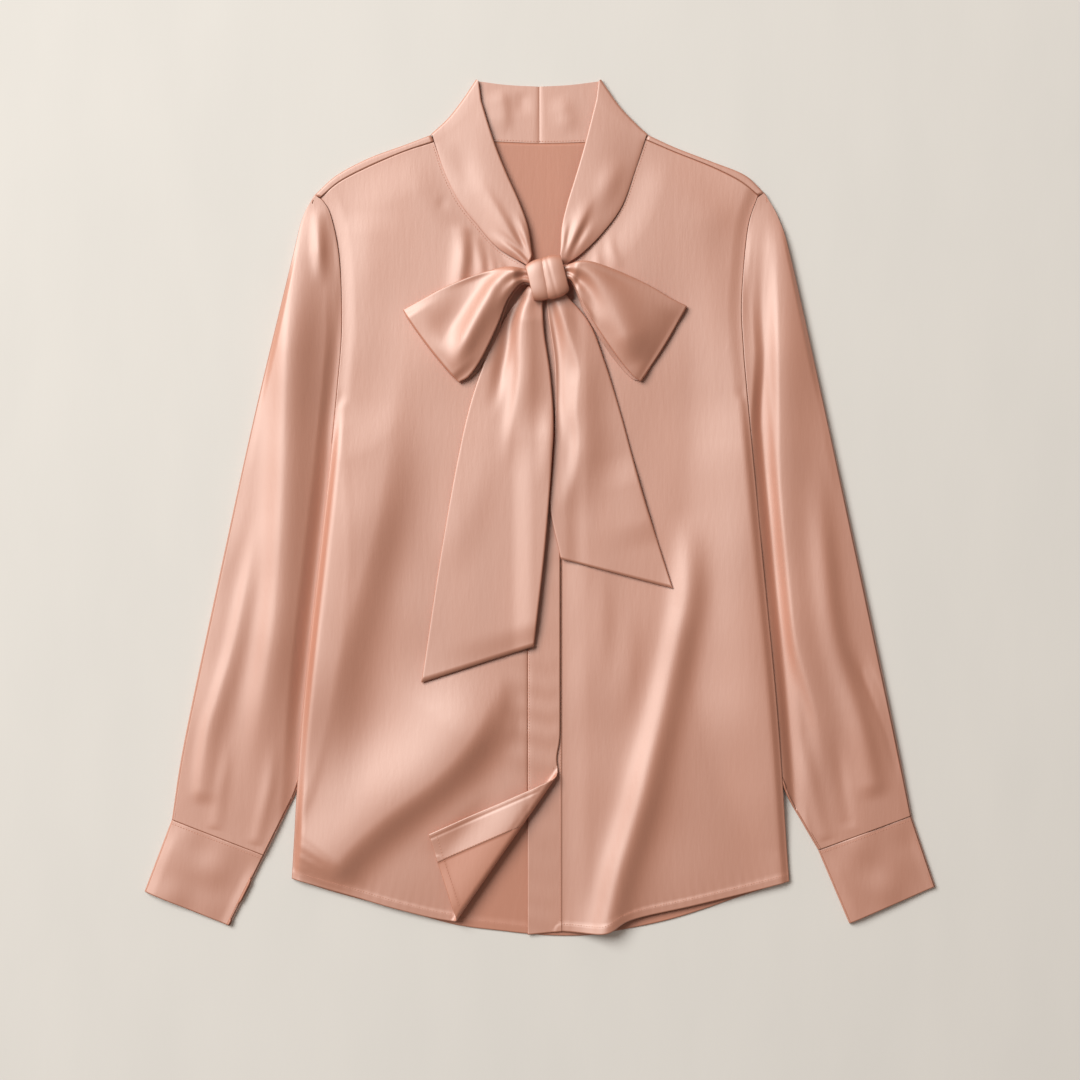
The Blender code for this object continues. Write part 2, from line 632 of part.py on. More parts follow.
def sleeve_plan(side):
    """Plan of a sleeve, rows across it from the shoulder to the cuff, columns from its outer fold."""
    outer = curve(SLEEVE_OUTER[side], SLEEVE_STEPS)
    seam = outer_boundary(side)[:SEWN_STEPS + 1]
    seam[0] = SHOULDER_FOLD[side][-1]
    seam += SEAM_GAP * normals_towards(seam, np.array([sign_of(side), 0.0]))
    inner = curve(SLEEVE_INNER[side], SLEEVE_STEPS - SEWN_STEPS)
    inner[0] = seam[-1]
    tip = spaced(np.array([outer[0], seam[0]]), SLEEVE_ACROSS)
    cuff = spaced(np.array([outer[-1], inner[-1]]), SLEEVE_ACROSS)
    plan = patch(tip, cuff, outer, chain(seam, inner))
    plan[-1] += SEAM_GAP * normals_towards(plan[-1], plan[-2] - plan[-1])
    return plan


def build_sleeve(side, finish):
    """Sleeve: sewn to the body along the armhole, with an underarm fold below it."""
    plan = sleeve_plan(side)
    u = np.linspace(0.0, 1.0, SLEEVE_ACROSS + 1)[None, :]
    v = np.linspace(0.0, 1.0, SLEEVE_STEPS + 1)[:, None]
    top = sleeve_top(side, plan[..., 0], plan[..., 1], u, v)
    rings = tube_grid(plan, top, sewn_rows=SEWN_STEPS)
    bm = grid_mesh(rings, closed=True)
    bm.verts.ensure_lookup_table()
    fold_column = SLEEVE_ACROSS + 2
    unsewn = [bm.verts[row * rings.shape[1] + fold_column] for row in range(SEWN_STEPS)]
    bmesh.ops.delete(bm, geom=unsewn, context="VERTS")
    add_piece("sleeve_" + side, bm, CLOTH, finish, faces_up=True, flat=True, known_face=2)


def build_cuff(side, finish):
    outer_top, inner_top, inner_end, outer_end = (np.array(corner) for corner in CUFF_CORNERS[side])
    top = spaced(np.array([outer_top, inner_top]), SLEEVE_ACROSS)
    end = spaced(np.array([outer_end, inner_end]), SLEEVE_ACROSS)
    share = np.linspace(0.0, 1.0, CUFF_STEPS + 1)[:, None, None]
    plan = (1 - share) * top[None] + share * end[None]
    u = np.linspace(0.0, 1.0, SLEEVE_ACROSS + 1)[None, :]
    height = CUFF_EDGE + (CUFF_HEIGHT - CUFF_EDGE) * np.sin(math.pi * u) ** 0.5
    add_tube("cuff_" + side, tube_grid(plan, np.repeat(height, CUFF_STEPS + 1, axis=0)), DOUBLE, finish)


def across_ribbon(first, last, steps, crown=0.0, wave=0.0, pleats=0.0):
    """One row of points across a ribbon between two edge points, arched and pleated."""
    w = np.linspace(0.0, 1.0, steps + 1)
    row = np.outer(1 - w, first) + np.outer(w, last)
    arch = np.sin(math.pi * w)
    row[:, 2] += arch * (crown + wave * np.sin(2.0 * math.pi * pleats * w))
    return row


def build_collar(side, finish):
    fold = curve(COLLAR_FOLD[side], COLLAR_ACROSS)
    outwards = normals_towards(fold, UPWARDS)
    inset = fold - COLLAR_RADIUS * outwards
    middle = BACK_NECK_STEPS // 2
    neck = curve(BACK_NECK, BACK_NECK_STEPS)
    half = neck[middle::-1] if side == "right" else neck[middle:]
    top = curve([(COLLAR_CENTRE_X, COLLAR_TOP), COLLAR_MIDDLE[side], inset[-1]], middle)
    rows = []
    for seam, free in zip(half[:-1], top[:-1]):
        lower = (seam[0], seam[1] + SEAM_GAP, 0.0)
        rows.append(across_ribbon(lower, (free[0], free[1], 0.0), COLLAR_ACROSS))
    rows[0][:, 0] = COLLAR_CENTRE_X + sign_of(side) * SEAM_GAP / 2
    for angle in np.radians([0.0, 45.0, 90.0, 135.0, 180.0]):
        out = COLLAR_RADIUS * math.sin(angle)
        height = np.full(len(fold), COLLAR_RADIUS * (1.0 - math.cos(angle)))
        rows.append(with_height(inset + out * outwards, height))
    rows += collar_front(side)
    add_piece("collar_" + side, grid_mesh(np.array(rows)), DOUBLE, finish, faces_up=False)


def collar_front(side):
    """Rows of the collar on the front, from the shoulder to the knot."""
    seams = curve(NECKLINE[side], NECK_STEPS)
    rows = []
    for seam, band in zip(seams, COLLAR_BANDS[side]):
        free = np.array([band.free_x, band.free_y])
        towards = (free - seam) / np.linalg.norm(free - seam)
        start = seam + towards * 2.0 * SEAM_GAP
        first = (start[0], start[1], band.seam_height)
        last = (band.free_x, band.free_y, band.free_height)
        rows.append(across_ribbon(first, last, COLLAR_ACROSS, band.crown, band.wave, COLLAR_PLEATS))
    return rows


def support_top(x, y):
    """Top of the fronts and their bands, on which the bow lies."""
    closure = front_underside("right", x, y) + DOUBLE
    left = front_underside("left", x, y) + CLOTH
    past = soft((x - CLOSURE_OUTER - 3.0) / 18.0)
    return (1 - past) * closure + past * left


def loop_layers(side):
    """Rows of the outer and under layers of a bow loop, from the knot outwards."""
    upper, under = [], []
    for place in LOOPS[side]:
        first = np.array([place.upper_x, place.upper_y])
        last = np.array([place.lower_x, place.lower_y])
        wave = LOOP_WAVE * place.gather
        ground = support_top(np.array([first[0], last[0]]), np.array([first[1], last[1]]))
        base = ground + place.base
        top = np.maximum(base + 2.0 * DOUBLE + LAYER_GAP, place.top)
        upper.append(across_ribbon((*first, top[0]), (*last, top[1]), LOOP_ACROSS,
                                   place.crown, wave, LOOP_PLEATS))
        beneath = across_ribbon((*first, place.base), (*last, place.base), LOOP_ACROSS,
                                0.0, wave, LOOP_PLEATS)
        beneath[:, 2] += support_top(beneath[:, 0], beneath[:, 1])
        under.append(beneath)
    return upper, under


def build_loop(side, finish):
    upper, under = loop_layers(side)
    end_top, end_under = upper[-1], under[-1]
    chord = end_top[-1, :2] - end_top[0, :2]
    away = np.array([chord[1], -chord[0]]) / np.linalg.norm(chord)
    away *= np.sign(away[0]) * sign_of(side)
    bow = LOOP_END_BOW * np.sin(math.pi * np.linspace(0.0, 1.0, LOOP_ACROSS + 1))
    end_top[:, :2] += bow[:, None] * away
    end_under[:, :2] += bow[:, None] * away
    radius = (end_top[:, 2] - end_under[:, 2]) / 2.0
    turn = []
    for angle in np.radians([45.0, 90.0, 135.0]):
        share = (1.0 - math.cos(angle)) / 2.0
        row = (1.0 - share) * end_top + share * end_under
        row[:, :2] += (radius * math.sin(angle))[:, None] * away
        turn.append(row)
    rows = np.array(upper + turn + under[::-1])
    add_piece("bow_loop_" + side, grid_mesh(rows), DOUBLE, finish, faces_up=True)


def build_tail(side, finish):
    rows = []
    for left_x, left_y, right_x, right_y, gather, rise in curve(TAILS[side], TAIL_STEPS):
        w = np.linspace(0.0, 1.0, TAIL_ACROSS + 1)
        x = (1 - w) * left_x + w * right_x
        y = (1 - w) * left_y + w * right_y
        wave = TAIL_WAVE * (0.25 + gather) * np.sin(math.pi * TAIL_PLEATS * w) ** 2
        over = 0.0
        if side == "right":
            over = TAIL_OVERLAP * soft((x + 26.0) / 20.0) * soft((182.0 - y) / 16.0)
        rows.append(np.column_stack([x, y, support_top(x, y) + TAIL_REST + rise + over + wave]))
    add_piece("tail_" + side, grid_mesh(np.array(rows)), DOUBLE, finish, faces_up=True)


def build_knot(finish):
    axis = np.array([math.cos(KNOT_ANGLE), math.sin(KNOT_ANGLE)])
    across = np.array([-axis[1], axis[0]])
    rings = []
    for s in np.linspace(0.0, 1.0, KNOT_ALONG + 1):
        pinch = 1.0 - KNOT_PINCH * (2.0 * s - 1.0) ** 2
        wrap = KNOT_WRAP_RISE * abs(math.sin(2.0 * math.pi * s))
        angle = np.linspace(0.0, 2.0 * math.pi, KNOT_AROUND, endpoint=False)
        width = np.sign(np.cos(angle)) * np.abs(np.cos(angle)) ** 0.75 * (KNOT_WIDTH / 2 * pinch + wrap)
        rise = np.sign(np.sin(angle)) * np.abs(np.sin(angle)) ** 0.75
        height = KNOT_BASE + KNOT_HEIGHT / 2 + rise * (KNOT_HEIGHT / 2 * pinch + wrap * (rise > 0))
        place = np.array(KNOT_CENTRE) + (s - 0.5) * KNOT_LENGTH * axis
        plan = place + width[:, None] * across
        rings.append(with_height(plan, height))
    add_tube("knot", np.array(rings), DOUBLE, finish)


def build_blouse():
    for old in list(bpy.data.objects):
        bpy.data.objects.remove(old, do_unlink=True)
    blouse = bpy.data.collections.new("blouse")
    bpy.context.scene.collection.children.link(blouse)
    body = material("satin_body", BODY_COLOR, 0.42)
    faced = material("satin_faced", FACED_COLOR, 0.45)
    tie = material("satin_tie", TIE_COLOR, 0.40)
    build_back(body)
    build_bands(faced)
    build_knot(tie)
    for side in ("right", "left"):
        build_front(side, body)
        build_sleeve(side, body)
        build_cuff(side, faced)
        build_collar(side, tie)
        build_loop(side, tie)
        build_tail(side, tie)


build_blouse()
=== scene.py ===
"""Looks of the satin blouse: cloth, folds, stitching, finishes, light and camera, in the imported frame.

Lengths in the tables are millimetres in the row frame: +X to the wearer's left, +Y to the collar, +Z
up from the surface that the blouse lies on. Right and left are the wearer's.
"""
import math
from collections import namedtuple

import bmesh
import bpy
import numpy as np
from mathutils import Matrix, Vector


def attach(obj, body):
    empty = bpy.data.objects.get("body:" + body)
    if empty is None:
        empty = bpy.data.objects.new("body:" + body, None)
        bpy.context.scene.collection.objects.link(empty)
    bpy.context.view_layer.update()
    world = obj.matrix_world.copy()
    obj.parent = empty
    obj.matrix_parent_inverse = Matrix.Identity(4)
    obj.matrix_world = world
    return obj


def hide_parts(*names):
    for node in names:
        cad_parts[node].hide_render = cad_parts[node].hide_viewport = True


MM = 0.001

# Camera and framing: the view spans VIEW_WIDTH on the surface
VIEW_WIDTH = 972.0
VIEW_CENTRE = (0.0, -29.25)
VIEW_DISTANCE = 2200.0
SENSOR = 36.0

# Light, in metres and watts: a big lamp far to the upper left, and a weak warm surround
WINDOW_PLACE = (-3.1, 2.5, 4.3)
WINDOW_SIZE = 4.0
WINDOW_POWER = 425.0
WINDOW_COLOUR = (1.0, 0.968, 0.915)
WORLD_COLOUR = (1.0, 0.82, 0.70)
WORLD_STRENGTH = 0.34
FLOOR_SIZE = 3.0
FLOOR_DROP = 0.0002

# Finishes: two close tones, gloss, and how strongly the reliefs show; a relief is a noise, stretched
# along the warp, with its depth in metres
Finish = namedtuple("Finish", "low high roughness ior weave")
FINISH_TABLE = {
    "satin": Finish((0.515, 0.176, 0.087), (0.548, 0.191, 0.097), 0.60, 3.4, 0.10),
    "inside": Finish((0.468, 0.190, 0.118), (0.496, 0.204, 0.130), 0.62, 2.0, 0.14),
    "thread": Finish((0.500, 0.210, 0.130), (0.560, 0.250, 0.165), 0.5, 2.0, 0.10),
    "floor": Finish((0.637, 0.643, 0.632), (0.652, 0.657, 0.645), 0.9, 1.3, 0.05),
}
Relief = namedtuple("Relief", "scale detail along depth")
TONE = Relief(14.0, 3.0, 0.35, 0.0)
RELIEFS = (
    Relief(1500.0, 1.0, 1.0, 0.0004),       # threads
    Relief(260.0, 4.0, 0.2, 0.0009),        # faint streaks
    Relief(900.0, 2.0, 0.12, 0.0004),       # slubs
)
TONE_RANGE = (0.35, 0.65)

# Cloth
SIDES = ("right", "left")
WALL = 0.9                  # single layer
DOUBLE_WALL = 1.2           # faced or doubled layer
CLOTH = 1.0                 # the same walls in the solids that the pieces replace
DOUBLE = 1.4
SEAM_GAP = 0.3              # space between two pieces at a seam
LAYER_GAP = 0.4             # and between two layers that lie on each other

# Mesh: its steps, and the rough sizes that fix how many of them a panel gets
GRID = 2.6                  # step of the fronts, bands and cuffs
FINE = 1.1                  # step beside seams and edges
FINE_REACH = 7.7            # how far from an edge the fine step goes
BACK_GRID = 5.0
SLEEVE_STEP = 3.4           # steps along a sleeve and across it
SLEEVE_COLUMN = 1.6
BACK_LENGTH = 720.0
FRONT_LENGTH = 700.0
FRONT_WIDTH = 205.0
BAND_LENGTH = 590.0
SLEEVE_LENGTH = 600.0
SLEEVE_WIDTH = 92.0
CUFF_LENGTH = 70.0
CUFF_WIDTH = 90.0
FOLD_ARC = 5                # columns round each fold of a sleeve or cuff
TOP_FACE = 7                # a face of the first ring that lies well inside its upper layer
WRAP_ANGLES = np.linspace(20.0, 180.0, 9)           # degrees of the rows round a shoulder,
COLLAR_TURN_ANGLES = np.linspace(0.0, 180.0, 13)    # round the collar's turn
LOOP_TURN_ANGLES = np.linspace(15.0, 165.0, 11)     # and round a loop's end
SEAM_STOPS = (0.35, 0.7, 1.0)                       # rows from there to the shoulder seam
EDGE_STOPS = (0.0, 0.0025, 0.006, 0.011, 0.018, 0.028, 0.042)   # shares beside a ribbon's edge
CENTRE_STOPS = (0.0, 0.04, 0.1, 0.2, 0.35, 0.6)     # shares beside the collar's centre seam
COLLAR_COLUMNS = 34         # across and along the parts of the tie
COLLAR_ROWS = 70
LOOP_COLUMNS = 44
LOOP_ROWS = 80
TAIL_COLUMNS = 41
TAIL_ROWS = 130
KNOT_COLUMNS = 96
KNOT_ROWS = 60
KNOT_TOP_FACE = 24          # a face on top of the knot's first ring
CURVE_FINENESS = 12         # points from one given point of a curve to the next
PATH_SAMPLES = 40           # straight runs that stand for a path where distances are measured
HEM_SAMPLES = 60
SHOULDER_STEPS = 40
BACK_NECK_STEPS = 60
DENSE = {"armhole": 90, "side": 210, "seam": 120, "hem": 240, "sleeve": 240, "inner": 160,
         "back_hem": 300, "neck_row": 100, "upright": 80, "across": 30}     # runs of the finest lines

# Relief of the cloth
HEM = 7.5                   # width of the turned hem, how much it stands up and how softly
HEM_RISE = 0.45
HEM_SOFT = 1.2
PUCKER = 0.10               # height of the ripples along sewn edges
PUCKER_PITCH = 8.5
PUCKER_REACH = 9.0
PUCKER_SWAY = 1.6           # how unevenly they follow one another
PUCKER_SWAY_LENGTH = 23.0
SEAM_DIP = 0.5              # how far cloth sinks into a seam, and over which width
SEAM_DIP_WIDTH = 1.6
SEAM_REACH = 3.0            # how far a front runs in under the collar
SEAM_OVER = 0.05            # and how far it runs in towards its band
COLLAR_EASE = (4.0, 8.0)    # height over the band's end where that starts, and over which it grows
COLLAR_START = 0.05         # share of the front over which it grows from the shoulder down
DRIFT = 0.7                 # height of the slow unevenness of the fronts and sleeves
DRIFT_PITCH = 3.2           # how long its waves are; each has its slopes in x and y and its start
DRIFT_WAVES = ((0.021, 0.013, 0.0), (-0.016, 0.027, 1.3), (0.034, -0.009, 2.1), (0.011, 0.041, 4.0))
DRIFT_REACH = {"side": 40.0, "armhole": 30.0}       # distance from a front's seams where it is full
BAND_RIPPLE = 0.22          # soft ripples across the closed band
BAND_RIPPLE_PITCH = 27.0
BAND_SWAY = 1.7             # how unevenly they follow one another, how they slant and come and go
BAND_SWAY_LENGTH = 29.0
BAND_SLANT = 14.0
BAND_FADE_LENGTH = 37.0
BAND_EDGE_SOFT = 9.0        # distance from the band's free edge over which they grow
EDGE_ROUND = 1.5            # radius of the folded edges of the tie, and how much of it they drop
EDGE_FALL = 0.75
END_FADE = 0.12             # share of a piece over which drift and folds fade at its ends

# Stitches: short rounded bars, thinner and lower at both ends
STITCH_PITCH = 2.6
STITCH_LENGTH = 1.8
STITCH_THICK = 0.6
STITCH_SINK = 0.06
Girth = namedtuple("Girth", "share size rise")
STITCH_PROFILE = (Girth(0.0, 0.35, -0.5), Girth(0.2, 0.85, 0.1), Girth(0.5, 1.0, 0.35),
                  Girth(0.8, 0.85, 0.1), Girth(1.0, 0.35, -0.5))
STITCH_CORNERS = np.radians([0.0, 60.0, 120.0, 180.0, 270.0])
HEM_STITCH = HEM - 0.8      # from an edge or a seam to the row of stitches beside it
BAND_STITCH = 1.4
LEFT_BAND_STITCH = 1.6
NECK_STITCH = 1.6
BACK_NECK_STITCH = 1.8
CUFF_STITCH = 2.6
BAND_STITCH_TOP = -119.0    # where the tails stop hiding the bands' rows, and where the left one ends
LEFT_STITCH_TOP = -48.0
LEFT_STITCH_END = -372.0
BACK_STITCH_REACH = 130.0   # half the width of the back's hem that is stitched
TURN_CLEAR = 1.0            # how far from the roll the rows stop

# Heights of the fronts
COVER = 2.6                 # height that a front's underside reaches close to its seams
BODY_RISE = 1.6             # how much further its middle stands up
RISE_REACH = {"armhole": 60.0, "shoulder": 40.0, "neck": 30.0}      # and how far from each seam
SIDE_SOFT = 8.0             # distance from the side seam to that height, and from the armhole
ARMHOLE_SOFT = 12.8
SHOULDER_RADIUS = 1.8       # outer radius of the back where it wraps over the shoulder
BAND_DIP = 1.8              # how much lower the left front runs below the closure
CLOSURE_MARGIN = 2.0        # distance beside the closure where that starts, and over which it grows
CLOSURE_FADE = 24.0
TUCK = 3.2                  # lift of the body where it lies on the sleeve's inner strip
TUCK_MARGIN = 8.0           # how far past the strip the lift is full
TUCK_SLOPE = 22.0           # distance over which it then dies away
UNDERARM_EASE = 32.0        # distance below the underarm over which the sleeve slips under
WIDE_TUCK = {"right": 3.6, "left": 7.5}     # lift of a front's edge, and how far in it spreads
WIDE_TUCK_SPREAD = 70.0
WIDE_TUCK_ABOVE = 170.0     # distance over the underarm where that starts, and over which it grows
WIDE_TUCK_RISE = 170.0
WIDE_TUCK_BOTTOM = -430.0   # where it ends further down, and over which distance it fades
WIDE_TUCK_FADE = 260.0
LIFT_BLEND = 0.2            # how softly both lifts meet

# Sleeves and cuffs
SLEEVE_RAMP = {"right": 0.0, "left": 5.8}   # how far the sleeve stands up against the body's edge
RAMP_WIDTH = 11.0
RAMP_FURTHER = 9.0          # how much further out that slope lies beside the armhole
RAMP_CHANGE = 80.0          # and over which height it moves there
OUTER_RISE = 2.2            # how much higher the sleeve stands at its outer fold
OUTER_SHARE = 0.7           # share of its width over which that falls
HUG_TOP = {"right": 215.0, "left": 268.0}   # where the sleeve starts to sink beside the body
HUG_EASE = 90.0
TUCK_NEAR = {"right": 15.0, "left": 21.0}   # distance outside the side seam where it starts to flatten
TUCK_EASE = 13.0            # distance over which it gets flat
SLEEVE_FLAT = 2.5           # height of the sleeve where the body lies on it
SLEEVE_EDGE = 3.6           # height just inside its outer fold
SLEEVE_BULGE = 2.0          # fullness between its folds, and how round that is
BULGE_ROUND = 0.8
BULGE_KEPT = 0.35           # share of it that is left at the cuff, and share of the folds
FOLDS_KEPT = 0.4
SLEEVE_FADE = 0.1           # share of its width and length over which that grows
TUBE_EDGE = 2.0             # how far inside its folds a sleeve or cuff is at full height
NARROW_EDGE = 0.2           # and the most that this may be of its width
EDGE_SHARE = 0.98           # share of that which a sleeve takes, from the least that it has
EDGE_START = 0.01
LEAVING_ROWS = 14.0         # rows over which the inner fold grows where the sleeve leaves the seam
LEAST_EDGE = 0.1            # share of that fold where it starts
CUFF_EASE = 0.16            # share of the sleeve's length that is drawn in above the cuff
CUFF_HEIGHT = 5.0           # height of a cuff in its middle, and just inside its folds
CUFF_EDGE = 3.8
CUFF_DRIFT = 0.9            # its slow unevenness, and how much shorter its waves are than on a front
CUFF_DRIFT_SCALE = 2.4
CUFF_LEAN = {"right": 1.5, "left": 1.0}     # how far the cuff's outer side stands higher
CUFF_LEAN_EASE = 0.4        # share of its length over which that grows
CUFF_LEAN_RISE = 3.0        # how fast it grows from the folds

# Closure
CLOSURE_INNER = -11.0       # seam between the right front and its band
CLOSURE_OUTER = 18.0        # free edge of the right band
LEFT_BAND_SEAM = 20.0       # seam between the left band and the left front
BAND_TOP = 214.0
LEFT_BAND_END = -384.0
RIGHT_HEM_END = -374.5

# Turned-back corner of the right front
TURN_POINT = (-1.5, -256.0) # a point of the line where the cloth leaves the surface
TURN_ANGLE = math.radians(235.3)
TURN_RADIUS = 5.0
TURN_REST = 4.4             # height of the turned face over the panel at its corner
TURN_SETTLE = 46.0          # distance from the roll to where the corner lies flat
TURN_SPAN = 0.88            # share of the corner's width that it covers, as it is drawn in a little
TURN_CUTS = 14
EDGE_BEND = 3.0             # how far the front edge curves in above the turned corner
EDGE_BEND_Y = -226.0
EDGE_BEND_REACH = 13.0
INSIDE_SHOWS = 4.0          # distance past the roll over which the inner side's relief grows
FACING_FOLD = 4.6           # crease of the facing beside the front edge
FACING_CREASE = 0.45
FACING_RISE = 0.5           # how much the facing stands up, and how softly
FACING_SOFT = 1.5

# Steps along the seams that fix where the sleeve slips under the body, as in the solids
ARMHOLE_STEPS = 9
SIDE_STEPS = 21
UNDERARM_STEPS = 2

UPWARDS = np.array([0.0, 1.0])

# Seam lines, as points of smooth curves
SHOULDER_SEAM = {
    "right": [(-95.5, 328.5), (-121.5, 320), (-154, 306), (-180, 292.5), (-197, 278.5)],
    "left": [(95.0, 330.5), (122, 319), (154.5, 306), (180, 293), (196, 280.5)],
}
SHOULDER_FOLD = {
    "right": [(-98, 335), (-121.5, 326), (-154, 314), (-183, 298.5), (-202.5, 281)],
    "left": [(97, 335), (122, 323.5), (154.5, 311), (184, 299), (201.5, 283)],
}
ARMHOLE = {
    "right": [(-197, 278.5), (-188, 263), (-180, 223), (-178, 160), (-182.5, 100.5)],
    "left": [(196, 280.5), (186.5, 250), (181, 187), (182.5, 142), (185.5, 104)],
}
SIDE = {
    "right": [(-182.5, 100.5), (-190, 25), (-198, -47), (-213.5, -191), (-223, -333.5)],
    "left": [(185.5, 104), (190, 54.5), (199.5, -47), (212.5, -181.5), (224, -336)],
}
NECKLINE = {
    "right": [(-95.5, 328.5), (-86, 300), (-73, 274), (-57, 253.5), (-38, 232.5), (-11, 216)],
    "left": [(95, 330.5), (86, 303), (73.5, 269.5), (55.5, 245), (36, 226), (20, 216)],
}
FRONT_HEM = {
    "right": [(-223, -333.5), (-175.5, -347), (-126, -361.5), (-76.5, -372), (-11, -374.5)],
    "left": [(224, -336), (190, -345), (134, -358.5), (81, -370.5), (58, -382), (20, -381)],
}
BACK_HEM = [(-223, -333.5), (-184.5, -346), (-126, -361.5), (-76.5, -375), (-36, -380.5), (4.5, -384.5),
            (45, -384.5), (72, -380), (112.5, -371.5), (146, -361.5), (182, -349), (224, -336)]
BACK_NECK = [(-97, 335), (-70, 331), (-41, 329), (0, 327.5), (41, 328.5), (70, 331), (96, 335)]
SLEEVE_OUTER = {
    "right": [(-205, 277), (-214, 259), (-223, 223), (-257.5, 79), (-289, -65), (-319.5, -209),
              (-331, -280.5)],
    "left": [(204, 279), (215, 259), (226, 223), (258.5, 79), (290, -65), (320.5, -209),
             (334, -277)],
}
SLEEVE_INNER = {
    "right": [(-187, 59), (-184, 20), (-181, -47), (-190, -140),
              (-206, -215), (-218.5, -254), (-229.5, -277), (-247.5, -313)],
    "left": [(189.5, 62), (186, 22), (183, -47), (191, -140),
             (207, -215), (219.5, -254), (236, -284), (250, -308)],
}
UNDERARM = {side: line[0][1] for side, line in SIDE.items()}
CUFF_CORNERS = {            # outer top, inner top, inner bottom, outer bottom
    "right": [(-331, -280.5), (-247.5, -313), (-279, -376), (-355.5, -345)],
    "left": [(334, -277), (250, -308), (278, -374), (355.5, -340.5)],
}

# Folds: a soft ridge (or trough, where height is negative) along a path of points. left and right are
# its widths on the two sides of the path, seen along it; start and end are the shares of its length
# over which it fades in and out.
Fold = namedtuple("Fold", "path height left right start end")
FRONT_FOLDS = {
    "right": [
        Fold([(-124, 150), (-130, 115), (-136, 79), (-144, 7), (-162, -65), (-182, -137), (-190, -190),
              (-198, -250)], 6.4, 22, 60, 0.42, 0.3),
        Fold([(-30, -140), (-46, -176), (-64, -209), (-95, -243), (-143, -279), (-180, -315), (-196, -344)],
             10.8, 20, 48, 0.3, 0.12),
        Fold([(-44, -244), (-80, -280), (-120, -312)], 1.6, 11, 17, 0.4, 0.5),
        Fold([(-22, -176), (-27, -216)], 0.9, 7, 7, 0.5, 0.5),
        Fold([(-170, 268), (-173, 205), (-172, 150), (-170, 110)], 3.0, 24, 8, 0.15, 0.4),
        Fold([(-38, 234), (-33, 214), (-32, 196)], 2.1, 3, 4, 0.1, 0.6),
        Fold([(-45, 238), (-41, 212), (-42, 196)], 2.0, 3, 4, 0.1, 0.6),
        Fold([(-56, 246), (-52, 218), (-52, 190)], 2.3, 4, 5, 0.1, 0.7),
        Fold([(-68, 258), (-68, 230), (-74, 190), (-84, 150)], 2.6, 5, 8, 0.1, 0.7),
        Fold([(-93, 278), (-79, 271)], -1.0, 6, 6, 0.5, 0.5),
        Fold([(-76, 60), (-76, 0), (-80, -70)], 0.8, 12, 16, 0.4, 0.4),
    ],
    "left": [
        Fold([(131, 0), (133, -40), (132, -83), (125, -119), (117, -155), (109, -191), (100, -227),
              (91, -263), (80, -299), (69, -335), (56, -395)], 5.6, 14, 12, 0.2, 0.02),
        Fold([(112, -150), (102, -200), (90, -263), (77, -310), (58, -395)], 3.6, 26, 18, 0.5, 0.02),
        Fold([(54, -40), (56, -90), (56, -165)], 1.0, 9, 12, 0.5, 0.5),
        Fold([(78, -80), (80, -140), (70, -205)], 0.9, 9, 14, 0.5, 0.5),
        Fold([(38, 232), (38, 214), (42, 198)], 2.1, 3, 4, 0.1, 0.6),
        Fold([(50, 242), (51, 222), (56, 204)], 2.0, 3.5, 4, 0.1, 0.6),
        Fold([(60, 254), (64, 232), (74, 210)], 1.8, 4, 5, 0.1, 0.7),
        Fold([(166, 285), (163, 200), (162, 120)], 2.2, 14, 26, 0.2, 0.35),
    ],
}
SLEEVE_FOLDS = {
    "right": [
        Fold([(-216, 240), (-224, 160), (-226, 97), (-228, 25), (-232, -47), (-239, -119), (-250, -191),
              (-261, -263)], 8.5, 24, 16, 0.2, 0.3),
        Fold([(-200, 272), (-198, 232), (-196, 195)], 3.0, 6, 6, 0.15, 0.5),
        Fold([(-250, 0), (-258, -47), (-273, -119), (-288, -170), (-298, -205), (-306, -268)],
             2.8, 12, 7, 0.3, 0.05),
        Fold([(-278, -200), (-284, -240), (-292, -290)], 1.2, 6, 6, 0.6, 0.05),
        Fold([(-238, -200), (-243, -250), (-256, -304)], 1.5, 6, 6, 0.6, 0.05),
    ],
    "left": [
        Fold([(207, 262), (213, 232), (214, 160), (215, 97), (216, 25), (222, -47), (230, -119), (250, -191),
              (259, -263)], 5.6, 26, 8, 0.25, 0.25),
        Fold([(248, 50), (255, -47), (264, -119), (286, -191), (302, -263)], 3.6, 10, 12, 0.35, 0.05),
        Fold([(276, -119), (292, -150), (316, -200), (330, -250)], -1.8, 7, 7, 0.3, 0.2),
        Fold([(262, -190), (270, -236), (278, -288)], -1.4, 6, 7, 0.6, 0.05),
        Fold([(236, -200), (244, -252), (256, -300)], 1.4, 7, 6, 0.5, 0.05),
    ],
}
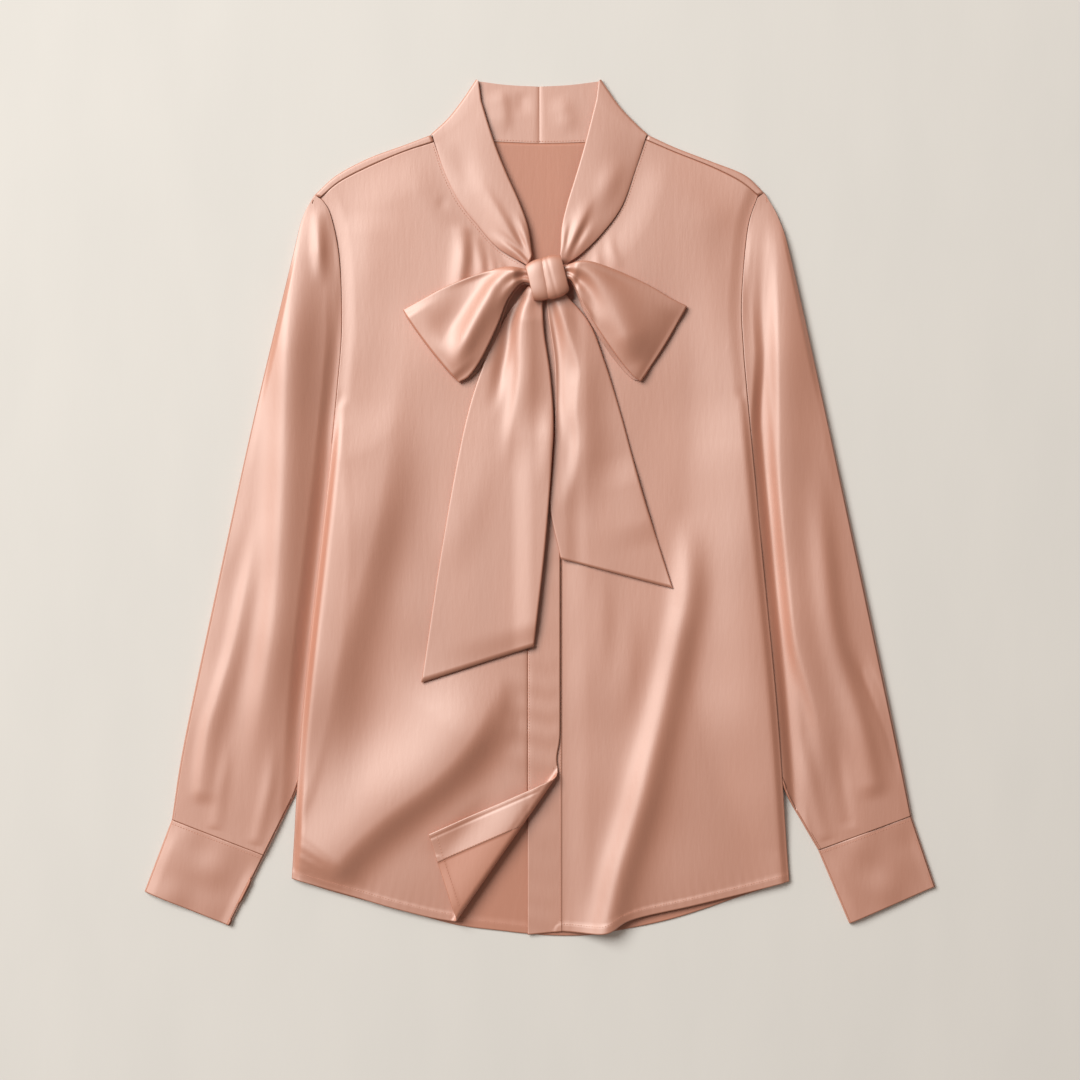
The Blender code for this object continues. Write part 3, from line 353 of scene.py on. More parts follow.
COLLAR_FOLDS = {
    "right": [
        Fold([(-58, 300), (-36, 262), (-15, 228), (-3, 206)], 1.6, 5, 9, 0.5, 0.05),
        Fold([(-24, 270), (-14, 246), (-9, 224), (-3, 206)], 1.5, 3, 4, 0.5, 0.05),
        Fold([(-30, 262), (-19, 243), (-11, 226), (-3, 206)], -1.6, 3, 4, 0.5, 0.05),
        Fold([(-46, 248), (-30, 234), (-14, 222), (-2, 206)], 1.4, 3, 4, 0.5, 0.05),
        Fold([(-40, 250), (-26, 238), (-13, 224), (-2, 206)], -1.0, 2.5, 3, 0.5, 0.05),
        Fold([(-78, 330), (-66, 302), (-58, 280)], -0.9, 9, 9, 0.5, 0.5),
    ],
    "left": [
        Fold([(48, 282), (36, 254), (25, 228), (14, 206)], 2.4, 4, 7, 0.5, 0.05),
        Fold([(45, 264), (37, 246), (27, 228), (15, 206)], -2.2, 4, 3.5, 0.6, 0.05),
        Fold([(56, 262), (42, 244), (28, 228), (15, 206)], 1.2, 5, 5, 0.6, 0.05),
        Fold([(24, 262), (22, 244), (20, 230), (12, 208)], 1.2, 3, 3, 0.5, 0.05),
        Fold([(31, 262), (26, 246), (22, 231), (13, 208)], -1.2, 3, 3, 0.5, 0.05),
        Fold([(74, 318), (60, 286), (50, 262)], 1.3, 9, 10, 0.5, 0.5),
    ],
}
BACK_NECK_FOLDS = [
    Fold([(-36, 378), (-32, 352), (-33, 334)], 0.9, 5, 12, 0.3, 0.4),
    Fold([(-17, 376), (-15, 350)], -0.6, 6, 7, 0.4, 0.5),
    Fold([(16, 372), (24, 350), (26, 334)], 0.8, 8, 9, 0.4, 0.4),
]
LOOP_FOLDS = {
    "right": [
        Fold([(-15, 207), (-30, 206), (-40, 198), (-46, 187), (-56, 169), (-65, 151), (-73, 133),
              (-76, 118)], 5.0, 9, 8, 0.08, 0.3),
        Fold([(-22, 211), (-46, 203), (-62, 190), (-74, 173), (-86, 155), (-95, 140)],
             -3.8, 9, 17, 0.2, 0.3),
        Fold([(-13, 209), (-34, 212), (-60, 207), (-92, 193)], 1.3, 3, 3, 0.1, 0.5),
        Fold([(-122, 176), (-110, 156), (-90, 132), (-74, 113)], 2.6, 20, 5, 0.1, 0.1),
    ],
    "left": [
        Fold([(24, 213), (38, 213), (48, 204), (56, 194), (66, 181), (75, 162), (82, 142), (87, 128)],
             4.4, 16, 12, 0.08, 0.25),
        Fold([(28, 204), (38, 201), (44, 192), (49, 178), (55, 162)], -2.3, 7, 8, 0.12, 0.5),
        Fold([(27, 198), (33, 187), (41, 174), (49, 162)], 2.4, 4, 4, 0.15, 0.3),
        Fold([(28, 217), (44, 218), (66, 210), (100, 195)], 1.2, 3, 3, 0.1, 0.5),
        Fold([(128, 178), (116, 158), (104, 138), (92, 118)], -2.0, 8, 14, 0.2, 0.2),
    ],
}
TAIL_FOLDS = {
    "right": [
        Fold([(-1, 206), (-6, 196), (-13, 180), (-16, 165), (-17, 145), (-17, 125), (-19, 105), (-22, 85),
              (-26, 60), (-30, 30)], 4.4, 15, 7, 0.08, 0.45),
        Fold([(-12, 196), (-22, 178), (-27, 165), (-30, 145), (-34, 125), (-38, 105), (-45, 80)],
             -3.0, 5, 7, 0.1, 0.45),
        Fold([(4, 100), (8, 79), (7, 43), (4, 10)], 1.4, 5, 9, 0.4, 0.5),
        Fold([(-48, 60), (-60, 0), (-72, -60)], 0.9, 14, 14, 0.5, 0.5),
    ],
    "left": [
        Fold([(9, 204), (15, 186), (24, 165), (31, 145), (36, 125), (35, 105), (34, 85), (36, 60),
              (33, 30), (22, -10)], 4.4, 21, 8, 0.08, 0.3),
        Fold([(8, 198), (12, 172), (15, 150), (17, 125), (17, 85), (20, 50)], -2.2, 5, 4.5, 0.1, 0.35),
        Fold([(78, 50), (90, 10), (102, -35)], 1.8, 8, 30, 0.35, 0.3),
    ],
}

# Collar bands on the front, a row at each step of the neckline: free_x, free_y is the point of the
# upper edge; heights are of the outer face at both edges; crown arches it
Band = namedtuple("Band", "free_x free_y seam_height free_height crown")
COLLAR_BANDS = {
    "right": [
        Band(-53.5, 368, 5.0, 5.6, 0.4),
        Band(-47, 346, 4.8, 6.8, 0.8),
        Band(-39, 322, 5.2, 7.4, 1.2),
        Band(-29.5, 298.5, 5.6, 7.8, 1.4),
        Band(-19, 275, 6.2, 8.2, 1.2),
        Band(-11, 252, 7.2, 8.6, 0.8),
        Band(-7, 226, 8.2, 8.4, 0.0),
    ],
    "left": [
        Band(51, 369, 5.0, 5.6, 0.4),
        Band(45.5, 347, 4.8, 6.8, 0.8),
        Band(39, 322, 5.2, 7.4, 1.0),
        Band(31.5, 296.5, 5.6, 7.4, 1.1),
        Band(24, 272, 6.2, 7.6, 1.0),
        Band(19, 250, 7.2, 8.0, 0.8),
        Band(18, 228, 8.2, 8.4, 0.0),
    ],
}
COLLAR_FOLD = {             # silhouette where each collar half turns from the back to the front
    "right": [(-98, 335.5), (-83, 349.5), (-70, 366), (-57.5, 384.7)],
    "left": [(97, 335.5), (88, 343.5), (71.5, 361), (55, 384.7)],
}
COLLAR_RADIUS = 2.6         # outer radius of that turn
COLLAR_CENTRE_X = -0.5      # its centre seam, its top there and a point of its top to either side
COLLAR_TOP = 378.5
COLLAR_MIDDLE = {"right": (-29.5, 380.0), "left": (27.0, 380.0)}

# Bow loops, a row from the knot outwards: the ribbon's upper and lower edges in plan, the height of
# its outer layer, how far its under layer stands over the front, the arch and how it is gathered
Loop = namedtuple("Loop", "upper_x upper_y lower_x lower_y top base crown gather")
LOOPS = {
    "right": [
        Loop(-2, 209, -5, 199, 19.5, 8.2, 0.0, 0.6),
        Loop(-14, 213, -17, 200, 19.5, 8.0, 0.5, 0.8),
        Loop(-32, 214.5, -29, 186, 18.8, 5.4, 2.0, 0.8),
        Loop(-56, 208.5, -39, 161, 17.0, 3.0, 3.0, 0.5),
        Loop(-85.5, 197, -52, 134, 15.0, 1.4, 3.0, 0.25),
        Loop(-108, 185, -63, 118, 13.0, 0.8, 2.0, 0.1),
        Loop(-122, 177.5, -71.5, 112.5, 11.0, 0.7, 1.0, 0.0),
    ],
    "left": [
        Loop(15, 212, 18, 202, 19.5, 8.2, 0.0, 0.6),
        Loop(26, 217, 28, 202, 19.5, 8.0, 0.5, 0.8),
        Loop(43, 219.5, 40, 178, 18.8, 5.6, 2.0, 0.8),
        Loop(68, 212, 56, 153, 17.0, 3.8, 3.0, 0.5),
        Loop(96, 199.5, 71, 132, 15.0, 1.6, 3.0, 0.25),
        Loop(118, 187, 83, 118, 13.0, 0.8, 2.0, 0.1),
        Loop(130.5, 181, 89, 113.5, 11.0, 0.7, 1.0, 0.0),
    ],
}
LOOP_PLEATS = 1.5           # waves across a loop near the knot, and their height
LOOP_WAVE = 1.4
LOOP_END_BOW = 1.5          # how far the end of a loop bows outwards
LOOP_TURN = 0.6             # and how round it turns there, for its height
UNDER_SHOWS = 4.0           # how far a loop's under layer reaches out below its upper one
UNDER_WAVE = 0.5            # and its share of the waves

# Tails, a row from the knot down: the ribbon's left and right edges as seen, how it is gathered and
# how far it stands up towards the knot
Tail = namedtuple("Tail", "left_x left_y right_x right_y gather rise")
TAILS = {
    "right": [
        Tail(-10, 199, 2, 188, 0.6, 0.9),
        Tail(-30.5, 172, 3.5, 158, 0.9, 0.0),
        Tail(-47, 138, 9.0, 120, 0.6, 0.0),
        Tail(-63, 92, 12.0, 78, 0.35, 0.0),
        Tail(-75.5, 36, 10.5, 40, 0.15, 0.0),
        Tail(-90, -47, 4.5, -36, 0.05, 0.0),
        Tail(-106.5, -157, -5.5, -124.5, 0.0, 0.0),
    ],
    "left": [
        Tail(4.5, 193, 20, 194, 0.6, 0.85),
        Tail(8, 165, 44, 166, 0.9, 0.0),
        Tail(13, 130, 58, 131, 0.7, 0.0),
        Tail(13.5, 85, 72, 86, 0.5, 0.0),
        Tail(11, 40, 84.5, 40, 0.3, 0.0),
        Tail(9, 0, 96, 0, 0.15, 0.0),
        Tail(18.5, -46, 119, -72.5, 0.0, 0.0),
    ],
}
TAIL_REST = 2.6             # outer face of a tail over the front that it lies on
TAIL_OVERLAP = 2.4          # further height of the right tail where it lies on the left one
TAIL_TILT = 2.6             # how far the right tail stands up along its right edge
Grow = namedtuple("Grow", "start reach")    # a growth starts at a place; its reach is negative downwards
OVERLAP_ACROSS = Grow(-26.0, 20.0)
OVERLAP_DOWN = Grow(182.0, -16.0)
TILT_DOWN = Grow(120.0, -60.0)
TILT_UP = Grow(-158.0, 30.0)
TAIL_WAVE = 0.4             # height of the waves across a tail, and their number
TAIL_PLEATS = 1.5
TAIL_EVEN = 0.25            # share of that height where a tail isn't gathered
SUPPORT_CHANGE = Grow(CLOSURE_OUTER + 3.0, 18.0)    # where what carries the bow changes to the left front

# Knot: two wraps of the tie around the gathered ribbons, as a short tube along its axis
KNOT_CENTRE = (6.5, 204.5)
KNOT_ANGLE = math.radians(14.0)     # of its axis from +X
KNOT_LENGTH = 33.0
KNOT_WIDTH = 37.0
KNOT_BASE = 9.0
KNOT_HEIGHT = 16.0
KNOT_PINCH = 0.14           # how much narrower its ends are
KNOT_BORDER = 0.44          # share of its length where the two wraps meet, and how far that sways
KNOT_SWAY = 0.05
Wrap = namedtuple("Wrap", "reach rise fullness")
KNOT_WRAPS = (Wrap(-0.46, 1.0, 0.55), Wrap(0.58, 1.7, 0.5))
KNOT_SINK = 0.6             # how much smaller the tube is than its size where no wrap is full
Crease = namedtuple("Crease", "place sway width depth")
KNOT_CREASE = Crease(0.18, 0.06, 0.055, 0.3)
KNOT_SIDES = 0.7            # how square the tube is across, and in height
KNOT_FLATS = 0.6


# ---- curves and fields

def soft(value):
    """Smooth step from 0 to 1."""
    clipped = np.clip(value, 0.0, 1.0)
    return clipped * clipped * (3.0 - 2.0 * clipped)


def travelled(line):
    """Distance along a line at each of its points."""
    return np.concatenate([[0.0], np.cumsum(np.linalg.norm(np.diff(line, axis=0), axis=1))])


def length_of(line):
    return np.linalg.norm(np.diff(line, axis=0), axis=1).sum()


def picked(rows, travel, places):
    """The rows' values at the given places along them."""
    return np.column_stack([np.interp(places, travel, column) for column in rows.T])


def between(before, start, end, after, t):
    """Smooth way from start to end, at the shares t."""
    cubic = (3 * start - before - 3 * end + after) * t ** 3
    square = (2 * before - 5 * start + 4 * end - after) * t ** 2
    return 0.5 * (2 * start + (end - before) * t + square + cubic)


def lengthened(rows):
    """The rows with one more at each end, straight on."""
    return np.vstack([2 * rows[0] - rows[1], rows, 2 * rows[-1] - rows[-2]])


def curve(points, steps):
    """Smooth curve through the rows of points, as steps + 1 evenly spaced rows."""
    rows = np.asarray(points, float)
    ends = lengthened(rows)
    t = np.linspace(0.0, 1.0, CURVE_FINENESS, endpoint=False)[:, None]
    runs = [between(*four, t) for four in zip(ends, ends[1:], ends[2:], ends[3:])]
    return spaced(np.vstack(runs + [rows[-1:]]), steps)


def smooth_rows(table, steps):
    """A table as steps + 1 rows of numbers, from its first row smoothly to its last."""
    rows = np.array(table, float)
    last = len(rows) - 1
    place = np.clip(np.linspace(0.0, 1.0, steps + 1) / (1.0 / last), 0.0, last - 1e-9)
    index = place.astype(int)
    four = (lengthened(rows)[index + shift] for shift in range(4))
    return between(*four, (place - index)[:, None])


def spaced(rows, steps):
    """The same line with steps + 1 rows at equal distances in plan."""
    travel = travelled(rows[:, :2])
    return picked(rows, travel, np.linspace(0.0, travel[-1], steps + 1))


def placed(rows, shares):
    """The points of a line at the given shares of its length in plan."""
    travel = travelled(rows[:, :2])
    return picked(rows, travel, shares * travel[-1])


def straight(start, end, shares):
    """Points at the given shares of the way from start to end."""
    return placed(np.array([start, end]), shares)


def chain(*curves):
    """One boundary from curves that meet end to end."""
    return np.vstack([curves[0]] + [part[1:] for part in curves[1:]])


def normals_towards(line, reference):
    """Unit vectors across a line in plan, on the side where the reference vectors point."""
    run = np.gradient(line, axis=0)
    across = np.column_stack([-run[:, 1], run[:, 0]])
    across /= np.linalg.norm(across, axis=1, keepdims=True)
    return across * np.sign(np.sum(across * reference, axis=1, keepdims=True))


def along_path(points, x, y, samples=PATH_SAMPLES):
    """Signed distance from a path, positive to its left, and how far along it (0 to 1)."""
    path = curve(points, samples)
    best = np.full(np.shape(x), np.inf)
    signed = np.zeros(np.shape(x))
    share = np.zeros(np.shape(x))
    for index in range(samples):
        a = path[index]
        run = path[index + 1] - a
        t = np.clip(((x - a[0]) * run[0] + (y - a[1]) * run[1]) / (run @ run), 0.0, 1.0)
        dx = x - a[0] - t * run[0]
        dy = y - a[1] - t * run[1]
        distance = np.hypot(dx, dy)
        nearer = distance < best
        best = np.where(nearer, distance, best)
        signed = np.where(nearer, np.sign(run[0] * dy - run[1] * dx) * distance, signed)
        share = np.where(nearer, (index + t) / samples, share)
    return signed, share


def away_from(points, x, y, reach):
    """0 on a line, 1 at the given distance from it."""
    distance, _ = along_path(points, x, y)
    return soft(np.abs(distance) / reach)


def sign_of(side):
    return -1.0 if side == "right" else 1.0


def x_on(points, y):
    """X of a line that runs down the garment, at the heights y."""
    line = curve(points, PATH_SAMPLES)[::-1]
    return np.interp(y, line[:, 1], line[:, 0])


def inside_strip(side, x, y):
    """How far a point lies inwards of the sleeve's inner fold."""
    return sign_of(side) * (x_on(SLEEVE_INNER[side], y) - x)


def tuck_lift(side, x, y):
    """How far the sleeve's inner strip lifts the body that lies on it."""
    past = (inside_strip(side, x, y) - TUCK_MARGIN) / TUCK_SLOPE
    return TUCK * (1.0 - soft(past)) * soft((UNDERARM[side] - y) / UNDERARM_EASE)


def front_lift(side, x, y):
    """The same for a front, which falls from it over a longer way and starts to rise above it."""
    spread = soft((inside_strip(side, x, y) + TUCK_MARGIN) / WIDE_TUCK_SPREAD)
    wide = WIDE_TUCK[side] * (1.0 - spread) * lift_down(side, y)
    narrow = tuck_lift(side, x, y)
    return (wide + narrow + np.sqrt((wide - narrow) ** 2 + LIFT_BLEND)) / 2.0 - LIFT_BLEND


def lift_down(side, y):
    """How the lift of a front's edge grows down the armhole and fades again towards the hem."""
    below = soft((UNDERARM[side] + WIDE_TUCK_ABOVE - y) / WIDE_TUCK_RISE)
    return below * soft((y - WIDE_TUCK_BOTTOM) / WIDE_TUCK_FADE)


def seam_x(side, y):
    """X of the armhole and the side seam below it."""
    return np.where(y > UNDERARM[side], x_on(ARMHOLE[side], y), x_on(SIDE[side], y))


def back_underside(x, y):
    return np.where(x < 0.0, tuck_lift("right", x, y), tuck_lift("left", x, y))


def front_underside(side, x, y):
    """Underside of a front and its band: over the back, soft at the seams, with the folds."""
    off_edge = away_from(SIDE[side], x, y, SIDE_SOFT) * away_from(ARMHOLE[side], x, y, ARMHOLE_SOFT)
    off_armhole = away_from(ARMHOLE[side], x, y, RISE_REACH["armhole"])
    off_shoulder = away_from(SHOULDER_SEAM[side], x, y, RISE_REACH["shoulder"])
    off_neck = np.maximum(away_from(NECKLINE[side], x, y, RISE_REACH["neck"]), at_closure(x))
    free = off_edge * off_armhole * off_shoulder * off_neck
    rest = CLOTH + SEAM_GAP
    crown = (COVER - rest) * off_edge + BODY_RISE * free
    folds = fold_field(FRONT_FOLDS[side], x, y) * free * (1.0 - at_closure(x))
    if side == "left":
        crown = crown - BAND_DIP * at_closure(x)
    return front_lift(side, x, y) + rest + np.maximum(crown + folds, 0.0)


def at_closure(x):
    """1 on the two overlapping front bands, falling to 0 beside them."""
    middle = (CLOSURE_INNER + CLOSURE_OUTER) / 2.0
    half = (CLOSURE_OUTER - CLOSURE_INNER) / 2.0
    return 1.0 - soft((np.abs(x - middle) - half - CLOSURE_MARGIN) / CLOSURE_FADE)


def sleeve_top(side, x, y, u, v):
    """Outer face of the sleeve: low beside the body and under it, full between its edges, with the folds."""
    past_side = sign_of(side) * (seam_x(side, y) - x)
    beside = soft((HUG_TOP[side] - y) / HUG_EASE)
    tucked = soft((past_side + TUCK_NEAR[side]) / TUCK_EASE) * beside
    reach = RAMP_WIDTH + RAMP_FURTHER * soft((y - UNDERARM[side] + RAMP_CHANGE / 2) / RAMP_CHANGE)
    slope = SLEEVE_RAMP[side] * soft((past_side + reach) / RAMP_WIDTH) * lift_down(side, y)
    edge = SLEEVE_EDGE * (1.0 - tucked) + SLEEVE_FLAT * tucked + slope
    above_cuff = soft((1.0 - v) / CUFF_EASE)
    begun = soft(v / SLEEVE_FADE)
    edges = soft(u / SLEEVE_FADE) * soft((1.0 - u) / SLEEVE_FADE) * begun
    full = BULGE_KEPT + (1.0 - BULGE_KEPT) * above_cuff
    bulge = SLEEVE_BULGE * np.sin(math.pi * u) ** BULGE_ROUND * begun * full
    kept = FOLDS_KEPT + (1.0 - FOLDS_KEPT) * above_cuff
    folds = fold_field(SLEEVE_FOLDS[side], x, y) * edges * kept
    end = (CUFF_HEIGHT - SLEEVE_EDGE) * (1.0 - above_cuff)
    outer = OUTER_RISE * (1.0 - soft(u / OUTER_SHARE)) * begun * above_cuff
    return edge + outer + (end + np.maximum(bulge + folds, 0.0)) * (1.0 - tucked)


def turn_axes():
    """Direction of the fold of the turned corner, and the way across it towards the corner."""
    along = np.array([math.cos(TURN_ANGLE), math.sin(TURN_ANGLE)])
    across = np.array([-along[1], along[0]])
    return along, across


def turned(plan):
    """Points in space of a flat plan raised to the right front, with its lower corner turned back."""
    _, across = turn_axes()
    bend = EDGE_BEND * np.exp(-((plan[:, 1] - EDGE_BEND_Y) / EDGE_BEND_REACH) ** 2)
    inwards = bend * soft((plan[:, 0] - CLOSURE_INNER) / (CLOSURE_OUTER - CLOSURE_INNER))
    plan = plan - inwards[:, None] * np.array([1.0, 0.0])
    beyond = (plan - np.array(TURN_POINT)) @ across
    roll = math.pi * TURN_RADIUS
    angle = np.clip(beyond, 0.0, roll) / TURN_RADIUS
    flap = np.maximum(beyond - roll, 0.0)
    shift = TURN_RADIUS * np.sin(angle) - np.clip(beyond, 0.0, roll) - (1.0 + TURN_SPAN) * flap
    place = plan + shift[:, None] * across
    settle = soft(flap / TURN_SETTLE)
    above = TURN_RADIUS * (1.0 - np.cos(angle)) + (TURN_REST - 2.0 * TURN_RADIUS) * settle
    inside = inside_relief(plan[:, 0], plan[:, 1]) * soft(flap / INSIDE_SHOWS)
    height = front_surface("right", place[:, 0], place[:, 1]) + above + inside
    return with_height(place, height)


def inside_relief(x, y):
    """Relief of the right front's inner side: its hem band and the folded edge of the facing."""
    hem, _ = along_path(FRONT_HEM["right"], x, np.maximum(y, RIGHT_HEM_END), HEM_SAMPLES)
    fold = -FACING_CREASE * np.exp(-(CLOSURE_OUTER - FACING_FOLD - x) ** 2)
    facing = FACING_RISE * soft((x - CLOSURE_INNER + 1.0) / FACING_SOFT)
    return hem_band(np.abs(hem)) + fold + facing


# ---- grids

def stops(length, step, fine_start=True):
    """Shares from 0 to 1 along a length, with a fine step beside its end and, if chosen, its start."""
    start = FINE_REACH if fine_start else 0.0
    middle = max(int(round((length - start - FINE_REACH) / step)), 2)
    fine = int(round(FINE_REACH / FINE))
    places = [
        np.linspace(0.0, start, fine if fine_start else 0, endpoint=False),
        np.linspace(start, length - FINE_REACH, middle + 1),
        np.linspace(length - FINE_REACH, length, fine + 1)[1:],
    ]
    return np.concatenate(places) / length


def patch(top, bottom, start, end, u, v):
    """Grid of plan points between four boundaries, at the shares u along rows and v down columns."""
    u = u[None, :, None]
    v = v[:, None, None]
    across = (1 - v) * top[None] + v * bottom[None]
    down = (1 - u) * start[:, None] + u * end[:, None]
    corners = (1 - v) * ((1 - u) * top[0] + u * top[-1]) + v * ((1 - u) * bottom[0] + u * bottom[-1])
    return across + down - corners


def fold_field(folds, x, y):
    """Sum of all folds at the plan points."""
    height = np.zeros(np.shape(x))
    for fold in folds:
        distance, share = along_path(fold.path, x, y)
        width = np.where(distance > 0, fold.left, fold.right)
        ends = soft(share / fold.start) * soft((1.0 - share) / fold.end)
        height += fold.height * ends * np.exp(-(distance / width) ** 2)
    return height


def edge_drop(distance):
    """How far a folded edge has curved down at a distance from it."""
    inside = np.clip(1.0 - distance / EDGE_ROUND, 0.0, 1.0)
    return EDGE_ROUND * EDGE_FALL * (1.0 - np.sqrt(1.0 - inside ** 2))


def ribbon_stops(columns):
    """Shares across a ribbon, close together beside its two folded edges."""
    edge = np.array(EDGE_STOPS)
    return np.concatenate([edge, np.linspace(edge[-1], 1.0 - edge[-1], columns)[1:-1], 1.0 - edge[::-1]])


def drift(x, y, seed):
    """Slow unevenness of cloth that lies loosely, between about -1 and 1."""
    total = np.zeros(np.shape(x))
    for across, along, phase in DRIFT_WAVES:
        total += np.sin(2.0 * math.pi * (across * x + along * y) / DRIFT_PITCH + phase + 1.7 * seed)
    return total / len(DRIFT_WAVES)


def ripples(distance, travel):
    """Small puckers beside a sewn edge."""
    wave = np.sin(2.0 * math.pi * travel / PUCKER_PITCH + PUCKER_SWAY * np.sin(travel / PUCKER_SWAY_LENGTH))
    return PUCKER * wave * np.exp(-np.abs(distance) / PUCKER_REACH)


def hem_band(distance):
    """Extra thickness of a turned hem at a distance from its edge."""
    return HEM_RISE * (1.0 - soft((distance - HEM + HEM_SOFT) / HEM_SOFT))


def hem_height(line, x, y):
    """The same, with the ripples that its stitching draws."""
    distance, share = along_path(line, x, y, HEM_SAMPLES)
    distance = np.abs(distance)
    return hem_band(distance) + ripples(distance - HEM, share * length_of(line))


# ---- finishes

def noise(nodes, links, coordinates, relief):
    mapping = nodes.new("ShaderNodeMapping")
    mapping.inputs["Scale"].default_value = (1.0, relief.along, 1.0)
    links.new(coordinates, mapping.inputs["Vector"])
    texture = nodes.new("ShaderNodeTexNoise")
    texture.inputs["Scale"].default_value = relief.scale
    texture.inputs["Detail"].default_value = relief.detail
    links.new(mapping.outputs["Vector"], texture.inputs["Vector"])
    return texture.outputs["Fac"]


def ramp(nodes, links, source, colours):
    band = nodes.new("ShaderNodeValToRGB")
    for element, place, colour in zip(band.color_ramp.elements, TONE_RANGE, colours):
        element.position = place
        element.color = (*colour, 1.0)
    links.new(source, band.inputs["Fac"])
    return band.outputs["Color"]


def bump(nodes, links, source, strength, distance, after):
    made = nodes.new("ShaderNodeBump")
    made.inputs["Strength"].default_value = strength
    made.inputs["Distance"].default_value = distance
    links.new(source, made.inputs["Height"])
    if after is not None:
        links.new(after, made.inputs["Normal"])
    return made.outputs["Normal"]


def cloth_finish(name, finish):
    """Woven cloth: two close tones, a fine weave, faint streaks and slubs along the warp."""
    made = bpy.data.materials.new(name)
    made.use_nodes = True
    nodes, links = made.node_tree.nodes, made.node_tree.links
    shader = nodes["Principled BSDF"]
    coordinates = nodes.new("ShaderNodeTexCoord").outputs["Object"]
    tone = noise(nodes, links, coordinates, TONE)
    links.new(ramp(nodes, links, tone, (finish.low, finish.high)), shader.inputs["Base Color"])
    normal = None
    for relief in RELIEFS:
        height = noise(nodes, links, coordinates, relief)
        normal = bump(nodes, links, height, finish.weave, relief.depth, normal)
    links.new(normal, shader.inputs["Normal"])
    shader.inputs["Roughness"].default_value = finish.roughness
    shader.inputs["IOR"].default_value = finish.ior
    return made


# ---- meshes

def grid_mesh(points, closed=False, into=None):
    """Mesh of quads on a grid of points, in metres; closed joins the last column to the first."""
    bm = into or bmesh.new()
    rows, columns = points.shape[:2]
    verts = [[bm.verts.new(point * MM) for point in row] for row in points]
    for row, below in zip(verts, verts[1:]):
        for column in range(columns if closed else columns - 1):
            following = (column + 1) % columns
            bm.faces.new((row[column], below[column], below[following], row[following]))
    return bm


def mesh_of(name, bm, finishes):
    """Smooth mesh with the named finishes."""
    mesh = bpy.data.meshes.new(name)
    bm.to_mesh(mesh)
    bm.free()
    mesh.shade_smooth()
    for finish in finishes:
        mesh.materials.append(FINISHES[finish])
    return mesh


def linked(name, data):
    made = bpy.data.objects.new(name, data)
    bpy.context.scene.collection.objects.link(made)
    return made


def add_piece(node, bm, wall, finishes, faces_up, known_face=0):
    """Cloth that stands for a node. Its wall grows away from the modelled face, of the first finish.

    faces_up says which way the known face looks.
    """
    bm.normal_update()
    bm.faces.ensure_lookup_table()
    if (bm.faces[known_face].normal.z > 0.0) != faces_up:
        bmesh.ops.reverse_faces(bm, faces=bm.faces)
    name = node + "_cloth"
    piece = linked(name, mesh_of(name, bm, finishes))
    thick = piece.modifiers.new("wall", "SOLIDIFY")
    thick.thickness = wall * MM
    thick.offset = -1.0
    thick.use_quality_normals = True
    thick.material_offset = len(finishes) - 1
    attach(piece, "root")
    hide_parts(node)
    return piece


def with_height(plan, height):
    """The points of a plan at the given heights, or all at one height."""
    return np.concatenate([plan, np.broadcast_to(height, plan.shape[:-1])[..., None]], axis=-1)


# ---- stitches

def stitch_row(line):
    """Both ends of each stitch along a line of points in space."""
    travel = travelled(line)
    count = max(int(travel[-1] / STITCH_PITCH), 1)
    middles = (np.arange(count) + 0.5) * travel[-1] / count
    return list(zip(picked(line, travel, middles - STITCH_LENGTH / 2),
                    picked(line, travel, middles + STITCH_LENGTH / 2)))


def add_stitches(name, rows):
    """One mesh of stitches: short rounded bars that dip into the cloth at both ends."""
    bm = bmesh.new()
    up = np.array([0.0, 0.0, 1.0])
    for start, end in rows:
        along = (end - start) / np.linalg.norm(end - start)
        normal = up - along * (up @ along)
        normal /= np.linalg.norm(normal)
        side = np.cross(along, normal)
        rings = []
        for share, size, rise in STITCH_PROFILE:
            centre = (1 - share) * start + share * end + normal * (rise * STITCH_THICK / 2 - STITCH_SINK)
            radius = size * STITCH_THICK / 2
            rings.append([bm.verts.new((centre + radius * (math.cos(a) * side + math.sin(a) * normal)) * MM)
                          for a in STITCH_CORNERS])
        for ring, following in zip(rings, rings[1:]):
            for index in range(len(ring)):
                other = (index + 1) % len(ring)
                bm.faces.new((ring[index], following[index], following[other], ring[other]))
        bm.faces.new(rings[0])
        bm.faces.new(rings[-1][::-1])
    bmesh.ops.recalc_face_normals(bm, faces=bm.faces)
    piece = linked(name, mesh_of(name, bm, ["thread"]))
    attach(piece, "root")


# ---- back

def outer_boundary(side):
    """Armhole and side seam of a panel, from the shoulder to the hem, as a dense line."""
    return chain(curve(ARMHOLE[side], DENSE["armhole"]), curve(SIDE[side], DENSE["side"]))


def build_back():
    shoulders = {}
    for side in SIDES:
        fold = curve(SHOULDER_FOLD[side], SHOULDER_STEPS)
        shoulders[side] = fold - SHOULDER_RADIUS * normals_towards(fold, UPWARDS)
    neck = curve(BACK_NECK, BACK_NECK_STEPS)
    neck[0], neck[-1] = shoulders["right"][0], shoulders["left"][0]
    top = chain(shoulders["right"][::-1], neck, shoulders["left"])
    start, end = outer_boundary("right"), outer_boundary("left")
    start[0], end[0] = top[0], top[-1]
    v = stops(BACK_LENGTH, BACK_GRID, fine_start=False)
    u = travelled(top) / length_of(top)
    hem = placed(curve(BACK_HEM, DENSE["back_hem"]), u)
    plan = patch(top, hem, placed(start, v), placed(end, v), u, v)
    bm = grid_mesh(with_height(plan, back_height(plan[..., 0], plan[..., 1])))
    for side in SIDES:
        grid_mesh(shoulder_wrap(side, shoulders[side]), into=bm)
    bmesh.ops.remove_doubles(bm, verts=bm.verts, dist=1e-6)
    bmesh.ops.recalc_face_normals(bm, faces=bm.faces)
    piece = add_piece("back", bm, WALL, ("satin", "inside"), False)


